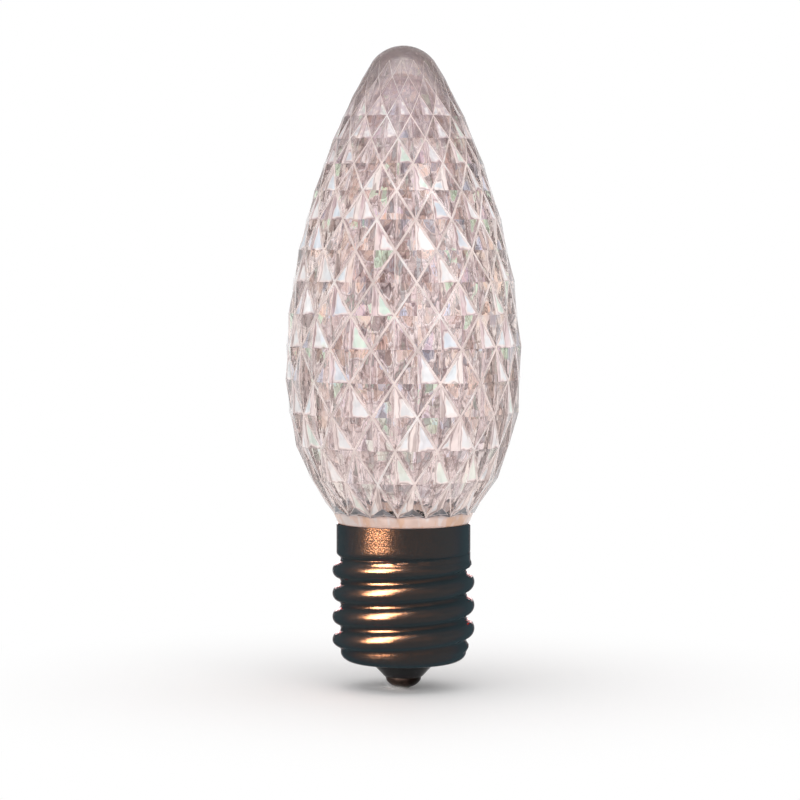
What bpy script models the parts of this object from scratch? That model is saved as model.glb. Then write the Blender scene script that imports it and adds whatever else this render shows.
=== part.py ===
"""A faceted screw-in festoon light bulb, stood on its centre contact with its axis along +Z.

The origin is the middle of the contact's flat tip. A clear moulded lens with a lattice of raised
diamond pyramids is glued by its spigot into a rolled screw shell. Inside it, a small round board
carries five light-emitting diodes. Lengths are in metres and angles in degrees.
"""

import math

import bmesh
import bpy

# Overall form
OVERALL_LENGTH = 0.0775
ASSEMBLY_GAP = 0.00005

# Screw shell, a thin pressing with the thread rolled into it
THREAD_DIAMETER = 0.0166
THREAD_DEPTH = 0.0010
THREAD_PITCH = 0.002822
THREAD_PHASE = 0.0085
SKIRT_LENGTH = 0.0036
RIDGE_RUN_OUT = 0.0012
THREAD_FADE = 0.0008
THREAD_FOOT_FADE = 0.0014
SHELL_WALL = 0.0003
SHELL_RIM_HEIGHT = 0.0200
SHELL_SHOULDER_HEIGHT = 0.0044
SHELL_MOUTH_RADIUS = 0.0054
SHELL_CURL_DROP = 0.0010
SHELL_SEGMENTS = 40
THREAD_ROWS_PER_PITCH = 8

# Lens
LENS_DIAMETER = 0.02858
BELLY_HEIGHT = 0.0387
FLANGE_HEIGHT = 0.0015
FLANGE_TOP_RADIUS = 0.00856
FLANGE_LIP = 0.0001
FLANK_ANGLE = 45.5
FLANK_HANDLE = 0.33
BELLY_HANDLE_BELOW = 0.385
BELLY_HANDLE_ABOVE = 0.445
NOSE_HANDLE = 0.185
NOSE_RADIUS = 0.00465
NOSE_LEAN = 32.5
CAVITY_NOSE_RADIUS = 0.0022
LENS_WALL = 0.0048
TIP_WALL = 0.0042
SPIGOT_LENGTH = 0.0028
GLUE_LINE = 0.0001
THROAT_RADIUS = 0.0054
THROAT_LENGTH = 0.0022
SEAT_WIDTH = 0.0007

# Facets: columns of pyramids set diamond fashion, each row half a column round from the last
COLUMNS = 16
COLUMN_TURN = -4.5
BELLY_ROW_STEP = 0.00399
TIP_ROW_STEP = 0.0009
ROW_STEP_PER_RADIUS = 0.2135
RELIEF_PER_CELL_WIDTH = 0.085
CAP_RADIUS = 0.0035
CLOSING_FACET_HEIGHT = 0.0010
CAP_RINGS = 3
CAVITY_RINGS = 16
OUTLINE_STEPS = 60

# Base insulator and centre contact
CONTACT_RADIUS = 0.00215
CONTACT_HEIGHT = 0.00135
CONTACT_HOLE_RADIUS = 0.0009
CONTACT_TIP_RADIUS = 0.0007
INSULATOR_NOSE_RADIUS = 0.0023
INSULATOR_STEP_RADIUS = 0.0038
INSULATOR_STEP_HEIGHT = 0.0030
INSULATOR_RIM = 0.0010
INSULATOR_RIM_THICKNESS = 0.0012
INSULATOR_HOLE_RADIUS = 0.0008
TURNED_SEGMENTS = 32

# Board and its components
BOARD_THICKNESS = 0.0010
BOARD_EDGE_CLEARANCE = 0.0002
LED_LENGTH = 0.0030
LED_WIDTH = 0.0020
LED_HEIGHT = 0.0009
LED_FRAME = 0.0003
LED_CUP_DEPTH = 0.0005
LED_CUP_TAPER = 0.0002
LED_DOME = 0.00012
LED_RING_RADIUS = 0.0034
LED_RING_COUNT = 4
RECTIFIER_LENGTH = 0.0046
RECTIFIER_WIDTH = 0.0030
RECTIFIER_HEIGHT = 0.0012
RECTIFIER_STANDOFF = 0.0002
RECTIFIER_OFFSET = 0.0032
RECTIFIER_LEG_WIDTH = 0.0006
RECTIFIER_LEG_THICKNESS = 0.0002
RECTIFIER_LEG_REACH = 0.0007
RECTIFIER_LEG_SPACING = 0.0026
LEAD_RADIUS = 0.0003
RESISTOR_RADIUS = 0.0012
RESISTOR_WAIST_RADIUS = 0.00105
RESISTOR_LENGTH = 0.0063
RESISTOR_CAP_LENGTH = 0.0014

# Return wire, from the board to the inside of the shell
WIRE_RADIUS = 0.00045
WIRE_HOLE_CLEARANCE = 0.00005
WIRE_BOARD_RADIUS = 0.0040
WIRE_TURN = 215.0
WIRE_BOW = 0.0010
SOLDER_RADIUS = 0.0009
SOLDER_SINK = 0.0005

# What follows from the sizes above
LENS_RADIUS = LENS_DIAMETER / 2
SHELL_RADIUS = THREAD_DIAMETER / 2 - THREAD_DEPTH / 2
SHELL_BORE = SHELL_RADIUS - SHELL_WALL
THREAD_CREST_HEIGHT = SHELL_RIM_HEIGHT - THREAD_PHASE
THREAD_GROOVE_TOP = SHELL_RIM_HEIGHT - SKIRT_LENGTH
THREAD_RIDGE_TOP = THREAD_GROOVE_TOP - RIDGE_RUN_OUT
THREAD_ROOT_BORE = THREAD_DIAMETER / 2 - THREAD_DEPTH - SHELL_WALL
FLANGE_FOOT = SHELL_RIM_HEIGHT + ASSEMBLY_GAP
FLANGE_TOP = FLANGE_FOOT + FLANGE_HEIGHT
FLANGE_FOOT_RADIUS = SHELL_RADIUS + FLANGE_LIP
SPIGOT_RADIUS = SHELL_BORE - GLUE_LINE
SPIGOT_FOOT = SHELL_RIM_HEIGHT - SPIGOT_LENGTH
BOARD_BORE = THROAT_RADIUS + SEAT_WIDTH
BOARD_RADIUS = BOARD_BORE - BOARD_EDGE_CLEARANCE
SEAT_HEIGHT = FLANGE_TOP - THROAT_LENGTH
BOARD_TOP = SEAT_HEIGHT - ASSEMBLY_GAP
BOARD_UNDERSIDE = BOARD_TOP - BOARD_THICKNESS
CAVITY_RADIUS = LENS_RADIUS - LENS_WALL
CAVITY_TOP = OVERALL_LENGTH - TIP_WALL
INSULATOR_FOOT = CONTACT_HEIGHT + ASSEMBLY_GAP
INSULATOR_SEAT = SHELL_SHOULDER_HEIGHT + ASSEMBLY_GAP
INSULATOR_TOP = INSULATOR_SEAT + INSULATOR_RIM_THICKNESS
BASE_MIDDLE = (BOARD_UNDERSIDE + INSULATOR_TOP) / 2
RESISTOR_FOOT = BASE_MIDDLE - RESISTOR_LENGTH / 2
RESISTOR_TOP = BASE_MIDDLE + RESISTOR_LENGTH / 2
WIRE_END_HEIGHT = BASE_MIDDLE


def clear_scene():
    """Removes whatever the scene holds."""
    for old in list(bpy.data.objects):
        bpy.data.objects.remove(old)


def material(name, colour, roughness, metallic=0.0, transmission=0.0):
    """A plain Principled finish for one kind of piece."""
    made = bpy.data.materials.new(name)
    made.use_nodes = True
    shader = made.node_tree.nodes["Principled BSDF"]
    shader.inputs["Base Color"].default_value = (*colour, 1.0)
    shader.inputs["Roughness"].default_value = roughness
    shader.inputs["Metallic"].default_value = metallic
    shader.inputs["Transmission Weight"].default_value = transmission
    made.diffuse_color = (*colour, 1.0)
    return made


def add_object(name, mesh, finish, location=(0.0, 0.0, 0.0), turn=0.0):
    """Puts a mesh in the scene as one named sub-part, turned about Z by so many degrees."""
    if not mesh.materials:
        mesh.materials.append(finish)
    made = bpy.data.objects.new(name, mesh)
    made.location = location
    made.rotation_euler = (0.0, 0.0, math.radians(turn))
    bpy.context.scene.collection.objects.link(made)
    return made


def mesh_from(bm, name, crease_angle=35.0):
    """Turns a bmesh into a mesh that is smooth on its round faces and sharp at its corners."""
    bmesh.ops.recalc_face_normals(bm, faces=bm.faces)
    mesh = bpy.data.meshes.new(name)
    bm.to_mesh(mesh)
    bm.free()
    mesh.shade_smooth()
    mesh.set_sharp_from_angle(angle=math.radians(crease_angle))
    return mesh


def add_ring(bm, radius, height, segments, turn=0.0):
    """A ring of vertices about the axis."""
    ring = []
    for step in range(segments):
        angle = math.radians(turn) + 2 * math.pi * step / segments
        ring.append(bm.verts.new((radius * math.cos(angle), radius * math.sin(angle), height)))
    return ring


def join_rings(bm, first, second):
    """A band of four-sided faces between two rings of as many vertices."""
    count = len(first)
    for step in range(count):
        after = (step + 1) % count
        bm.faces.new((first[step], first[after], second[after], second[step]))


def join_to_point(bm, ring, point):
    """A fan of triangles from a ring to one vertex."""
    count = len(ring)
    for step in range(count):
        bm.faces.new((ring[step], ring[(step + 1) % count], point))


def turned_mesh(name, profile, segments, turn=0.0):
    """A turned solid. Its profile is (radius, height) points, closed on itself or ended on the axis."""
    bm = bmesh.new()
    rings = []
    for radius, height in profile:
        if radius == 0.0:
            rings.append(bm.verts.new((0.0, 0.0, height)))
        else:
            rings.append(add_ring(bm, radius, height, segments, turn))
    pairs = list(zip(rings, rings[1:]))
    if profile[0][0] != 0.0:
        pairs.append((rings[-1], rings[0]))
    for first, second in pairs:
        if isinstance(first, bmesh.types.BMVert):
            join_to_point(bm, second, first)
        elif isinstance(second, bmesh.types.BMVert):
            join_to_point(bm, first, second)
        else:
            join_rings(bm, first, second)
    return mesh_from(bm, name)


def bezier(start, start_handle, end_handle, end, steps):
    """Points along one cubic curve, both ends included."""
    points = []
    for step in range(steps + 1):
        along = step / steps
        back = 1 - along
        weights = (back**3, 3 * back**2 * along, 3 * back * along**2, along**3)
        corners = (start, start_handle, end_handle, end)
        points.append(tuple(sum(w * c[axis] for w, c in zip(weights, corners)) for axis in (0, 1)))
    return points


def bulb_outline(foot_radius, foot_height, belly_radius, tip_height, nose_radius, steps):
    """A candle-flame outline as (radius, height) points: to the belly, to the nose and over it."""
    flank = math.radians(FLANK_ANGLE)
    lean = math.radians(NOSE_LEAN)
    nose_centre = tip_height - nose_radius
    nose_edge = (nose_radius * math.cos(lean), nose_centre + nose_radius * math.sin(lean))
    below = BELLY_HEIGHT - foot_height
    above = nose_edge[1] - BELLY_HEIGHT
    foot_handle = (
        foot_radius + FLANK_HANDLE * below * math.cos(flank),
        foot_height + FLANK_HANDLE * below * math.sin(flank),
    )
    lower = bezier(
        (foot_radius, foot_height),
        foot_handle,
        (belly_radius, BELLY_HEIGHT - BELLY_HANDLE_BELOW * below),
        (belly_radius, BELLY_HEIGHT),
        steps,
    )
    nose_handle = (
        nose_edge[0] + NOSE_HANDLE * above * math.sin(lean),
        nose_edge[1] - NOSE_HANDLE * above * math.cos(lean),
    )
    upper = bezier(
        (belly_radius, BELLY_HEIGHT),
        (belly_radius, BELLY_HEIGHT + BELLY_HANDLE_ABOVE * above),
        nose_handle,
        nose_edge,
        steps,
    )
    nose = []
    nose_steps = max(4, steps // 4)
    for step in range(1, nose_steps):
        angle = lean + (0.5 * math.pi - lean) * step / nose_steps
        nose.append((nose_radius * math.cos(angle), nose_centre + nose_radius * math.sin(angle)))
    return lower + upper[1:] + nose + [(0.0, tip_height)]


def radius_at(outline, height):
    """The outline's radius at a height, between its points."""
    for (lower_radius, lower), (upper_radius, upper) in zip(outline, outline[1:]):
        if lower <= height <= upper and upper > lower:
            share = (height - lower) / (upper - lower)
            return lower_radius + share * (upper_radius - lower_radius)
    return 0.0


def facet_row_heights(outline):
    """Heights of the rows: even up to the belly, and closer as the lens narrows above it."""
    heights = [FLANGE_TOP]
    while True:
        last = heights[-1]
        step = BELLY_ROW_STEP
        if last > BELLY_HEIGHT:
            step = TIP_ROW_STEP + ROW_STEP_PER_RADIUS * radius_at(outline, last)
        if radius_at(outline, last + step) < CAP_RADIUS:
            return heights
        heights.append(last + step)


def facet_rows(bm, outline):
    """The lattice's vertices, row by row. A row has grooves and pyramid tips by turns."""
    heights = facet_row_heights(outline)
    rows = []
    for row, height in enumerate(heights):
        radius = radius_at(outline, height)
        relief = RELIEF_PER_CELL_WIDTH * 2 * math.pi * radius / COLUMNS
        if row in (0, len(heights) - 1):
            relief = 0.0
        ring = add_ring(bm, radius, height, 2 * COLUMNS, COLUMN_TURN)
        for step, vertex in enumerate(ring):
            if (step + row) % 2 == 0:
                vertex.co.xy *= (radius - relief) / radius
        rows.append(ring)
    return rows


def add_pyramids(bm, rows):
    """Four facets round each pyramid tip, which is the odd vertex between four grooves."""
    count = 2 * COLUMNS
    for row, ring in enumerate(rows):
        for step in range((row + 1) % 2, count, 2):
            tip = ring[step]
            left, right = ring[step - 1], ring[(step + 1) % count]
            if row + 1 < len(rows):
                above = rows[row + 1][step]
                bm.faces.new((tip, right, above))
                bm.faces.new((tip, above, left))
            if row > 0:
                below = rows[row - 1][step]
                bm.faces.new((tip, left, below))
                bm.faces.new((tip, below, right))


def add_closing_facets(bm, rows, outline, flange_ring):
    """Ends the lowest, halved pyramids in small steep facets that stand on the flange."""
    count = 2 * COLUMNS
    lifted = FLANGE_TOP + CLOSING_FACET_HEIGHT
    for step in range(1, count, 2):
        tip = rows[0][step]
        tip.co.xy *= radius_at(outline, lifted) / radius_at(outline, FLANGE_TOP)
        tip.co.z = lifted
        left, foot, right = flange_ring[step - 1], flange_ring[step], flange_ring[(step + 1) % count]
        bm.faces.new((left, foot, tip))
        bm.faces.new((foot, right, tip))


def cavity_profile():
    """The lens's inside as (radius, height), from the spigot's foot up to the cavity's top."""
    outline = bulb_outline(
        THROAT_RADIUS, FLANGE_TOP, CAVITY_RADIUS, CAVITY_TOP, CAVITY_NOSE_RADIUS, CAVITY_RINGS // 2
    )
    return [
        (BOARD_BORE, SPIGOT_FOOT),
        (BOARD_BORE, SEAT_HEIGHT),
        (THROAT_RADIUS, SEAT_HEIGHT),
        *outline,
    ]


def make_lens(finish):
    """The moulded lens: facets, smooth cap, flange and spigot outside, and one hollow inside."""
    bm = bmesh.new()
    count = 2 * COLUMNS
    outline = bulb_outline(
        FLANGE_TOP_RADIUS, FLANGE_TOP, LENS_RADIUS, OVERALL_LENGTH, NOSE_RADIUS, OUTLINE_STEPS
    )
    rows = facet_rows(bm, outline)
    add_pyramids(bm, rows)

    flange_ring = add_ring(bm, FLANGE_TOP_RADIUS, FLANGE_TOP, count, COLUMN_TURN)
    add_closing_facets(bm, rows, outline, flange_ring)

    last = rows[-1]
    cap_foot = last[0].co.z
    for step in range(1, CAP_RINGS + 1):
        share = math.sin(0.5 * math.pi * step / (CAP_RINGS + 1))
        height = cap_foot + share * (OVERALL_LENGTH - cap_foot)
        ring = add_ring(bm, radius_at(outline, height), height, count, COLUMN_TURN)
        join_rings(bm, last, ring)
        last = ring
    join_to_point(bm, last, bm.verts.new((0.0, 0.0, OVERALL_LENGTH)))

    last = flange_ring
    neck = ((FLANGE_FOOT_RADIUS, FLANGE_FOOT), (SPIGOT_RADIUS, FLANGE_FOOT), (SPIGOT_RADIUS, SPIGOT_FOOT))
    for radius, height in (*neck, *cavity_profile()[:-1]):
        ring = add_ring(bm, radius, height, count, COLUMN_TURN)
        join_rings(bm, last, ring)
        last = ring
    join_to_point(bm, last, bm.verts.new((0.0, 0.0, CAVITY_TOP)))

    bmesh.ops.remove_doubles(bm, verts=bm.verts, dist=1e-7)
    return add_object("lens", mesh_from(bm, "lens", crease_angle=12.0), finish)


def thread_wave(phase):
    """A rolled thread's section over one pitch, from -1 in the root to 1 at the crest.

    It is built of equal round arcs that run into each other halfway up.
    """
    half = THREAD_PITCH / 2
    arc_radius = ((half / 2) ** 2 + (THREAD_DEPTH / 2) ** 2) / THREAD_DEPTH
    from_crest = abs((phase + 0.5) % 1.0 - 0.5) * THREAD_PITCH
    on_crest = from_crest < half / 2
    along = from_crest if on_crest else half - from_crest
    drop = arc_radius - math.sqrt(arc_radius**2 - along**2)
    height = 1 - 2 * drop / THREAD_DEPTH
    return height if on_crest else -height


def smooth_step(value, start, end):
    """Runs smoothly from 0 at start to 1 at end."""
    share = min(1.0, max(0.0, (value - start) / (end - start)))
    return share * share * (3 - 2 * share)


def shell_radius(angle, height):
    """The shell's outer radius, where the thread rises to the right and fades out at both ends."""
    turns = angle / (2 * math.pi) - 0.5
    wave = thread_wave((height - THREAD_CREST_HEIGHT) / THREAD_PITCH - turns)
    top = THREAD_RIDGE_TOP if wave > 0 else THREAD_GROOVE_TOP
    fade_top = smooth_step(height, top + THREAD_FADE / 2, top - THREAD_FADE / 2)
    fade_foot = smooth_step(height, SHELL_SHOULDER_HEIGHT, SHELL_SHOULDER_HEIGHT + THREAD_FOOT_FADE)
    sink = (1 - fade_foot) * THREAD_DEPTH / 2
    return SHELL_RADIUS + fade_top * fade_foot * wave * THREAD_DEPTH / 2 - sink


def shell_rows():
    """(height, curl) for each row of the shell, where curl is the share of the turned-in foot."""
    rows = [(SHELL_RIM_HEIGHT, 0.0)]
    height = THREAD_GROOVE_TOP + THREAD_FADE / 2
    while height > SHELL_SHOULDER_HEIGHT + THREAD_PITCH / THREAD_ROWS_PER_PITCH / 2:
        rows.append((height, 0.0))
        height -= THREAD_PITCH / THREAD_ROWS_PER_PITCH
    curl_steps = 5
    for step in range(curl_steps + 1):
        quarter = 0.5 * math.pi * step / curl_steps
        rows.append((SHELL_SHOULDER_HEIGHT - SHELL_CURL_DROP * math.sin(quarter), 1 - math.cos(quarter)))
    return rows


def make_screw_shell(finish):
    """The screw shell: one skin of rows from the rim to the turned-in foot, given its wall."""
    bm = bmesh.new()
    last = None
    for height, curl in shell_rows():
        ring = add_ring(bm, 1.0, height, SHELL_SEGMENTS)
        for vertex in ring:
            angle = math.atan2(vertex.co.y, vertex.co.x)
            radius = shell_radius(angle, max(height, SHELL_SHOULDER_HEIGHT))
            vertex.co.xy *= radius + curl * (SHELL_MOUTH_RADIUS - radius)
        if last:
            join_rings(bm, last, ring)
        last = ring
    for face in bm.faces:
        centre = face.calc_center_median()
        if face.normal.xy.dot(centre.xy) < 0:
            face.normal_flip()
    mesh = bpy.data.meshes.new("screw_shell")
    bm.normal_update()
    bm.to_mesh(mesh)
    bm.free()
    mesh.shade_smooth()
    shell = add_object("screw_shell", mesh, finish)
    wall = shell.modifiers.new("wall", "SOLIDIFY")
    wall.thickness = SHELL_WALL
    wall.offset = -1.0
    wall.use_even_offset = True
    return shell


def make_insulator(finish):
    """The glass insulator that the shell's foot is turned in over, with a hole for the lead."""
    mouth = SHELL_MOUTH_RADIUS - ASSEMBLY_GAP
    rim_foot = SHELL_SHOULDER_HEIGHT - SHELL_CURL_DROP + SHELL_WALL + ASSEMBLY_GAP
    rim = SHELL_MOUTH_RADIUS + INSULATOR_RIM
    profile = [
        (INSULATOR_HOLE_RADIUS, INSULATOR_FOOT),
        (INSULATOR_NOSE_RADIUS, INSULATOR_FOOT),
        (INSULATOR_STEP_RADIUS, INSULATOR_STEP_HEIGHT),
        (mouth, SHELL_SHOULDER_HEIGHT - SHELL_CURL_DROP),
        (mouth, rim_foot),
        (rim - INSULATOR_RIM / 2, rim_foot),
        (rim, INSULATOR_SEAT),
        (rim, INSULATOR_TOP),
        (INSULATOR_HOLE_RADIUS, INSULATOR_TOP),
    ]
    return add_object("base_insulator", turned_mesh("base_insulator", profile, TURNED_SEGMENTS), finish)


def contact_dome(radius):
    """Height of the contact's domed underside at a radius."""
    return CONTACT_HEIGHT * (1 - math.sqrt(1 - (radius / CONTACT_RADIUS) ** 2))


def make_centre_contact(finish):
    """The domed contact eyelet, open in the middle for the solder."""
    dome_steps = 6
    profile = [(CONTACT_HOLE_RADIUS, CONTACT_HEIGHT)]
    for step in range(dome_steps + 1):
        start = math.asin(CONTACT_HOLE_RADIUS / CONTACT_RADIUS)
        angle = start + (0.5 * math.pi - start) * step / dome_steps
        radius = CONTACT_RADIUS * math.sin(angle)
        profile.append((radius, contact_dome(radius)))
    return add_object("centre_contact", turned_mesh("centre_contact", profile, TURNED_SEGMENTS), finish)


def make_contact_solder(finish):
    """The solder that fills the eyelet round the lead, flat where the socket's tongue bears."""
    outside = CONTACT_HOLE_RADIUS - ASSEMBLY_GAP
    lead_hole = LEAD_RADIUS + ASSEMBLY_GAP
    lead_foot = CONTACT_HEIGHT / 2
    profile = [
        (0.0, 0.0),
        (CONTACT_TIP_RADIUS, 0.0),
        (outside, contact_dome(outside)),
        (outside, CONTACT_HEIGHT),
        (lead_hole, CONTACT_HEIGHT),
        (lead_hole, lead_foot),
        (0.0, lead_foot),
    ]
    return add_object("contact_solder", turned_mesh("contact_solder", profile, TURNED_SEGMENTS), finish)


def make_resistor(finish):
    """The dropping resistor on the axis, its leads running straight to the board and the contact."""
    lead_foot = CONTACT_HEIGHT / 2 + ASSEMBLY_GAP
    lead_top = BOARD_UNDERSIDE - ASSEMBLY_GAP
    rounding = RESISTOR_RADIUS / 2
    profile = [
        (0.0, lead_foot),
        (LEAD_RADIUS, lead_foot),
        (LEAD_RADIUS, RESISTOR_FOOT),
        (RESISTOR_RADIUS - rounding, RESISTOR_FOOT),
        (RESISTOR_RADIUS, RESISTOR_FOOT + rounding / 2),
        (RESISTOR_RADIUS, RESISTOR_FOOT + RESISTOR_CAP_LENGTH - rounding / 2),
        (RESISTOR_WAIST_RADIUS, RESISTOR_FOOT + RESISTOR_CAP_LENGTH),
        (RESISTOR_WAIST_RADIUS, RESISTOR_TOP - RESISTOR_CAP_LENGTH),
        (RESISTOR_RADIUS, RESISTOR_TOP - RESISTOR_CAP_LENGTH + rounding / 2),
        (RESISTOR_RADIUS, RESISTOR_TOP - rounding / 2),
        (RESISTOR_RADIUS - rounding, RESISTOR_TOP),
        (LEAD_RADIUS, RESISTOR_TOP),
        (LEAD_RADIUS, lead_top),
        (0.0, lead_top),
    ]
    return add_object("dropping_resistor", turned_mesh("dropping_resistor", profile, 16), finish)


def add_block(bm, size, centre):
    """A rectangular block in a bmesh, and its vertices."""
    made = bmesh.ops.create_cube(bm, size=1.0)["verts"]
    for vertex in made:
        for axis in range(3):
            vertex.co[axis] = vertex.co[axis] * size[axis] + centre[axis]
    return made


def helper(name, mesh):
    """A cutter or a joining shape, which isn't a sub-part."""
    made = bpy.data.objects.new(name, mesh)
    made.hide_render = True
    made.display_type = "WIRE"
    bpy.context.scene.collection.objects.link(made)
    return made


def boolean(target, other, operation):
    """Cuts or joins another shape by a Boolean modifier."""
    modifier = target.modifiers.new(other.name, "BOOLEAN")
    modifier.operation = operation
    modifier.object = other


def wire_place(radius, height):
    """A point at the return wire's own angle round the axis."""
    angle = math.radians(WIRE_TURN)
    return (radius * math.cos(angle), radius * math.sin(angle), height)


def make_board(finish):
    """The round board, up against its seat in the lens, drilled for the return wire."""
    profile = [(0.0, BOARD_TOP), (BOARD_RADIUS, BOARD_TOP), (BOARD_RADIUS, BOARD_UNDERSIDE), (0.0, BOARD_UNDERSIDE)]
    board = add_object("circuit_board", turned_mesh("circuit_board", profile, 48), finish)
    drill_radius = WIRE_RADIUS + WIRE_HOLE_CLEARANCE
    overshoot = BOARD_THICKNESS
    drill_profile = [
        (0.0, BOARD_TOP + overshoot),
        (drill_radius, BOARD_TOP + overshoot),
        (drill_radius, BOARD_UNDERSIDE - overshoot),
        (0.0, BOARD_UNDERSIDE - overshoot),
    ]
    drill = helper("wire_drill", turned_mesh("wire_drill", drill_profile, 16))
    drill.location = wire_place(WIRE_BOARD_RADIUS, 0.0)
    boolean(board, drill, "DIFFERENCE")
    return board


def led_package_mesh():
    """A surface-mount diode's white frame, with a cup that narrows towards its floor."""
    bm = bmesh.new()
    add_block(bm, (LED_LENGTH, LED_WIDTH, LED_HEIGHT), (0.0, 0.0, LED_HEIGHT / 2))
    top = max(bm.faces, key=lambda face: face.calc_center_median().z)
    bmesh.ops.inset_region(bm, faces=[top], thickness=LED_FRAME)
    floor = bmesh.ops.extrude_face_region(bm, geom=[top])
    bm.faces.remove(top)
    for vertex in (item for item in floor["geom"] if isinstance(item, bmesh.types.BMVert)):
        vertex.co.x -= math.copysign(LED_CUP_TAPER, vertex.co.x)
        vertex.co.y -= math.copysign(LED_CUP_TAPER, vertex.co.y)
        vertex.co.z -= LED_CUP_DEPTH
    return mesh_from(bm, "led_package")


def led_phosphor_mesh():
    """The yellow phosphor that fills the cup, with a slightly domed top."""
    bm = bmesh.new()
    half_length = LED_LENGTH / 2 - LED_FRAME - ASSEMBLY_GAP
    half_width = LED_WIDTH / 2 - LED_FRAME - ASSEMBLY_GAP
    floor_height = LED_HEIGHT - LED_CUP_DEPTH + ASSEMBLY_GAP
    levels = ((-LED_CUP_TAPER, floor_height), (0.0, LED_HEIGHT), (-LED_CUP_TAPER, LED_HEIGHT + LED_DOME))
    rings = []
    for grow, height in levels:
        ring = []
        for side_x, side_y in ((1, 1), (-1, 1), (-1, -1), (1, -1)):
            corner = (side_x * (half_length + grow), side_y * (half_width + grow), height)
            ring.append(bm.verts.new(corner))
        rings.append(ring)
    for first, second in zip(rings, rings[1:]):
        join_rings(bm, first, second)
    bm.faces.new(rings[0])
    bm.faces.new(rings[-1])
    return mesh_from(bm, "led_phosphor")


def make_leds(package_finish, phosphor_finish):
    """One diode in the middle of the board and a ring of them round it."""
    package = led_package_mesh()
    phosphor = led_phosphor_mesh()
    places = [(0.0, 0.0)]
    for step in range(LED_RING_COUNT):
        places.append((LED_RING_RADIUS, 360.0 * step / LED_RING_COUNT))
    for number, (radius, turn) in enumerate(places, start=1):
        angle = math.radians(turn)
        foot = (radius * math.cos(angle), radius * math.sin(angle), BOARD_TOP + ASSEMBLY_GAP)
        across = turn + 90.0
        add_object(f"led_package_{number}", package, package_finish, foot, across)
        add_object(f"led_phosphor_{number}", phosphor, phosphor_finish, foot, across)


def make_rectifier(finish):
    """The bridge rectifier under the board: a moulded body on four bent legs."""
    body_top = BOARD_UNDERSIDE - ASSEMBLY_GAP - RECTIFIER_STANDOFF
    body_middle = body_top - RECTIFIER_HEIGHT / 2
    bm = bmesh.new()
    add_block(bm, (RECTIFIER_LENGTH, RECTIFIER_WIDTH, RECTIFIER_HEIGHT), (0.0, RECTIFIER_OFFSET, body_middle))
    rectifier = add_object("bridge_rectifier", mesh_from(bm, "bridge_rectifier"), finish)

    leg_top = BOARD_UNDERSIDE - ASSEMBLY_GAP
    bite = RECTIFIER_LEG_THICKNESS
    for number, (side, row) in enumerate(((-1, -1), (-1, 1), (1, -1), (1, 1)), start=1):
        leg_x = row * RECTIFIER_LEG_SPACING / 2
        body_edge = RECTIFIER_OFFSET + side * RECTIFIER_WIDTH / 2
        profile = [
            (-bite, body_middle),
            (RECTIFIER_LEG_REACH / 2, body_middle),
            (RECTIFIER_LEG_REACH / 2, leg_top - RECTIFIER_LEG_THICKNESS),
            (RECTIFIER_LEG_REACH, leg_top - RECTIFIER_LEG_THICKNESS),
            (RECTIFIER_LEG_REACH, leg_top),
            (RECTIFIER_LEG_REACH / 2 - RECTIFIER_LEG_THICKNESS, leg_top),
            (RECTIFIER_LEG_REACH / 2 - RECTIFIER_LEG_THICKNESS, body_middle + RECTIFIER_LEG_THICKNESS),
            (-bite, body_middle + RECTIFIER_LEG_THICKNESS),
        ]
        bm = bmesh.new()
        sides = []
        for edge in (-0.5, 0.5):
            x = leg_x + edge * RECTIFIER_LEG_WIDTH
            sides.append([bm.verts.new((x, body_edge + side * reach, height)) for reach, height in profile])
        join_rings(bm, *sides)
        bm.faces.new(sides[0])
        bm.faces.new(sides[1])
        leg = helper(f"rectifier_leg_{number}", mesh_from(bm, f"rectifier_leg_{number}"))
        boolean(rectifier, leg, "UNION")
    return rectifier


def make_return_wire(finish):
    """The insulated wire from its hole in the board down and out to the solder on the shell."""
    end_radius = THREAD_ROOT_BORE - ASSEMBLY_GAP - SOLDER_RADIUS
    start = wire_place(WIRE_BOARD_RADIUS, BOARD_TOP)
    below_board = wire_place(WIRE_BOARD_RADIUS, BOARD_UNDERSIDE - WIRE_BOW)
    bend = wire_place(WIRE_BOARD_RADIUS, WIRE_END_HEIGHT + WIRE_BOW * 3)
    end = wire_place(end_radius, WIRE_END_HEIGHT + SOLDER_RADIUS + ASSEMBLY_GAP - SOLDER_SINK)
    above_end = wire_place(end_radius, end[2] + WIRE_BOW)
    steps = 12
    points = [start, below_board]
    for step in range(1, steps + 1):
        along = step / steps
        back = 1 - along
        weights = (back**3, 3 * back**2 * along, 3 * back * along**2, along**3)
        corners = (below_board, bend, above_end, end)
        points.append(tuple(sum(w * c[axis] for w, c in zip(weights, corners)) for axis in range(3)))
    curve = bpy.data.curves.new("return_wire", "CURVE")
    curve.dimensions = "3D"
    curve.bevel_depth = WIRE_RADIUS
    curve.bevel_resolution = 2
    curve.use_fill_caps = True
    spline = curve.splines.new("POLY")
    spline.points.add(len(points) - 1)
    for place, point in zip(spline.points, points):
        place.co = (*point, 1.0)
    return add_object("return_wire", curve, finish)


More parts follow.
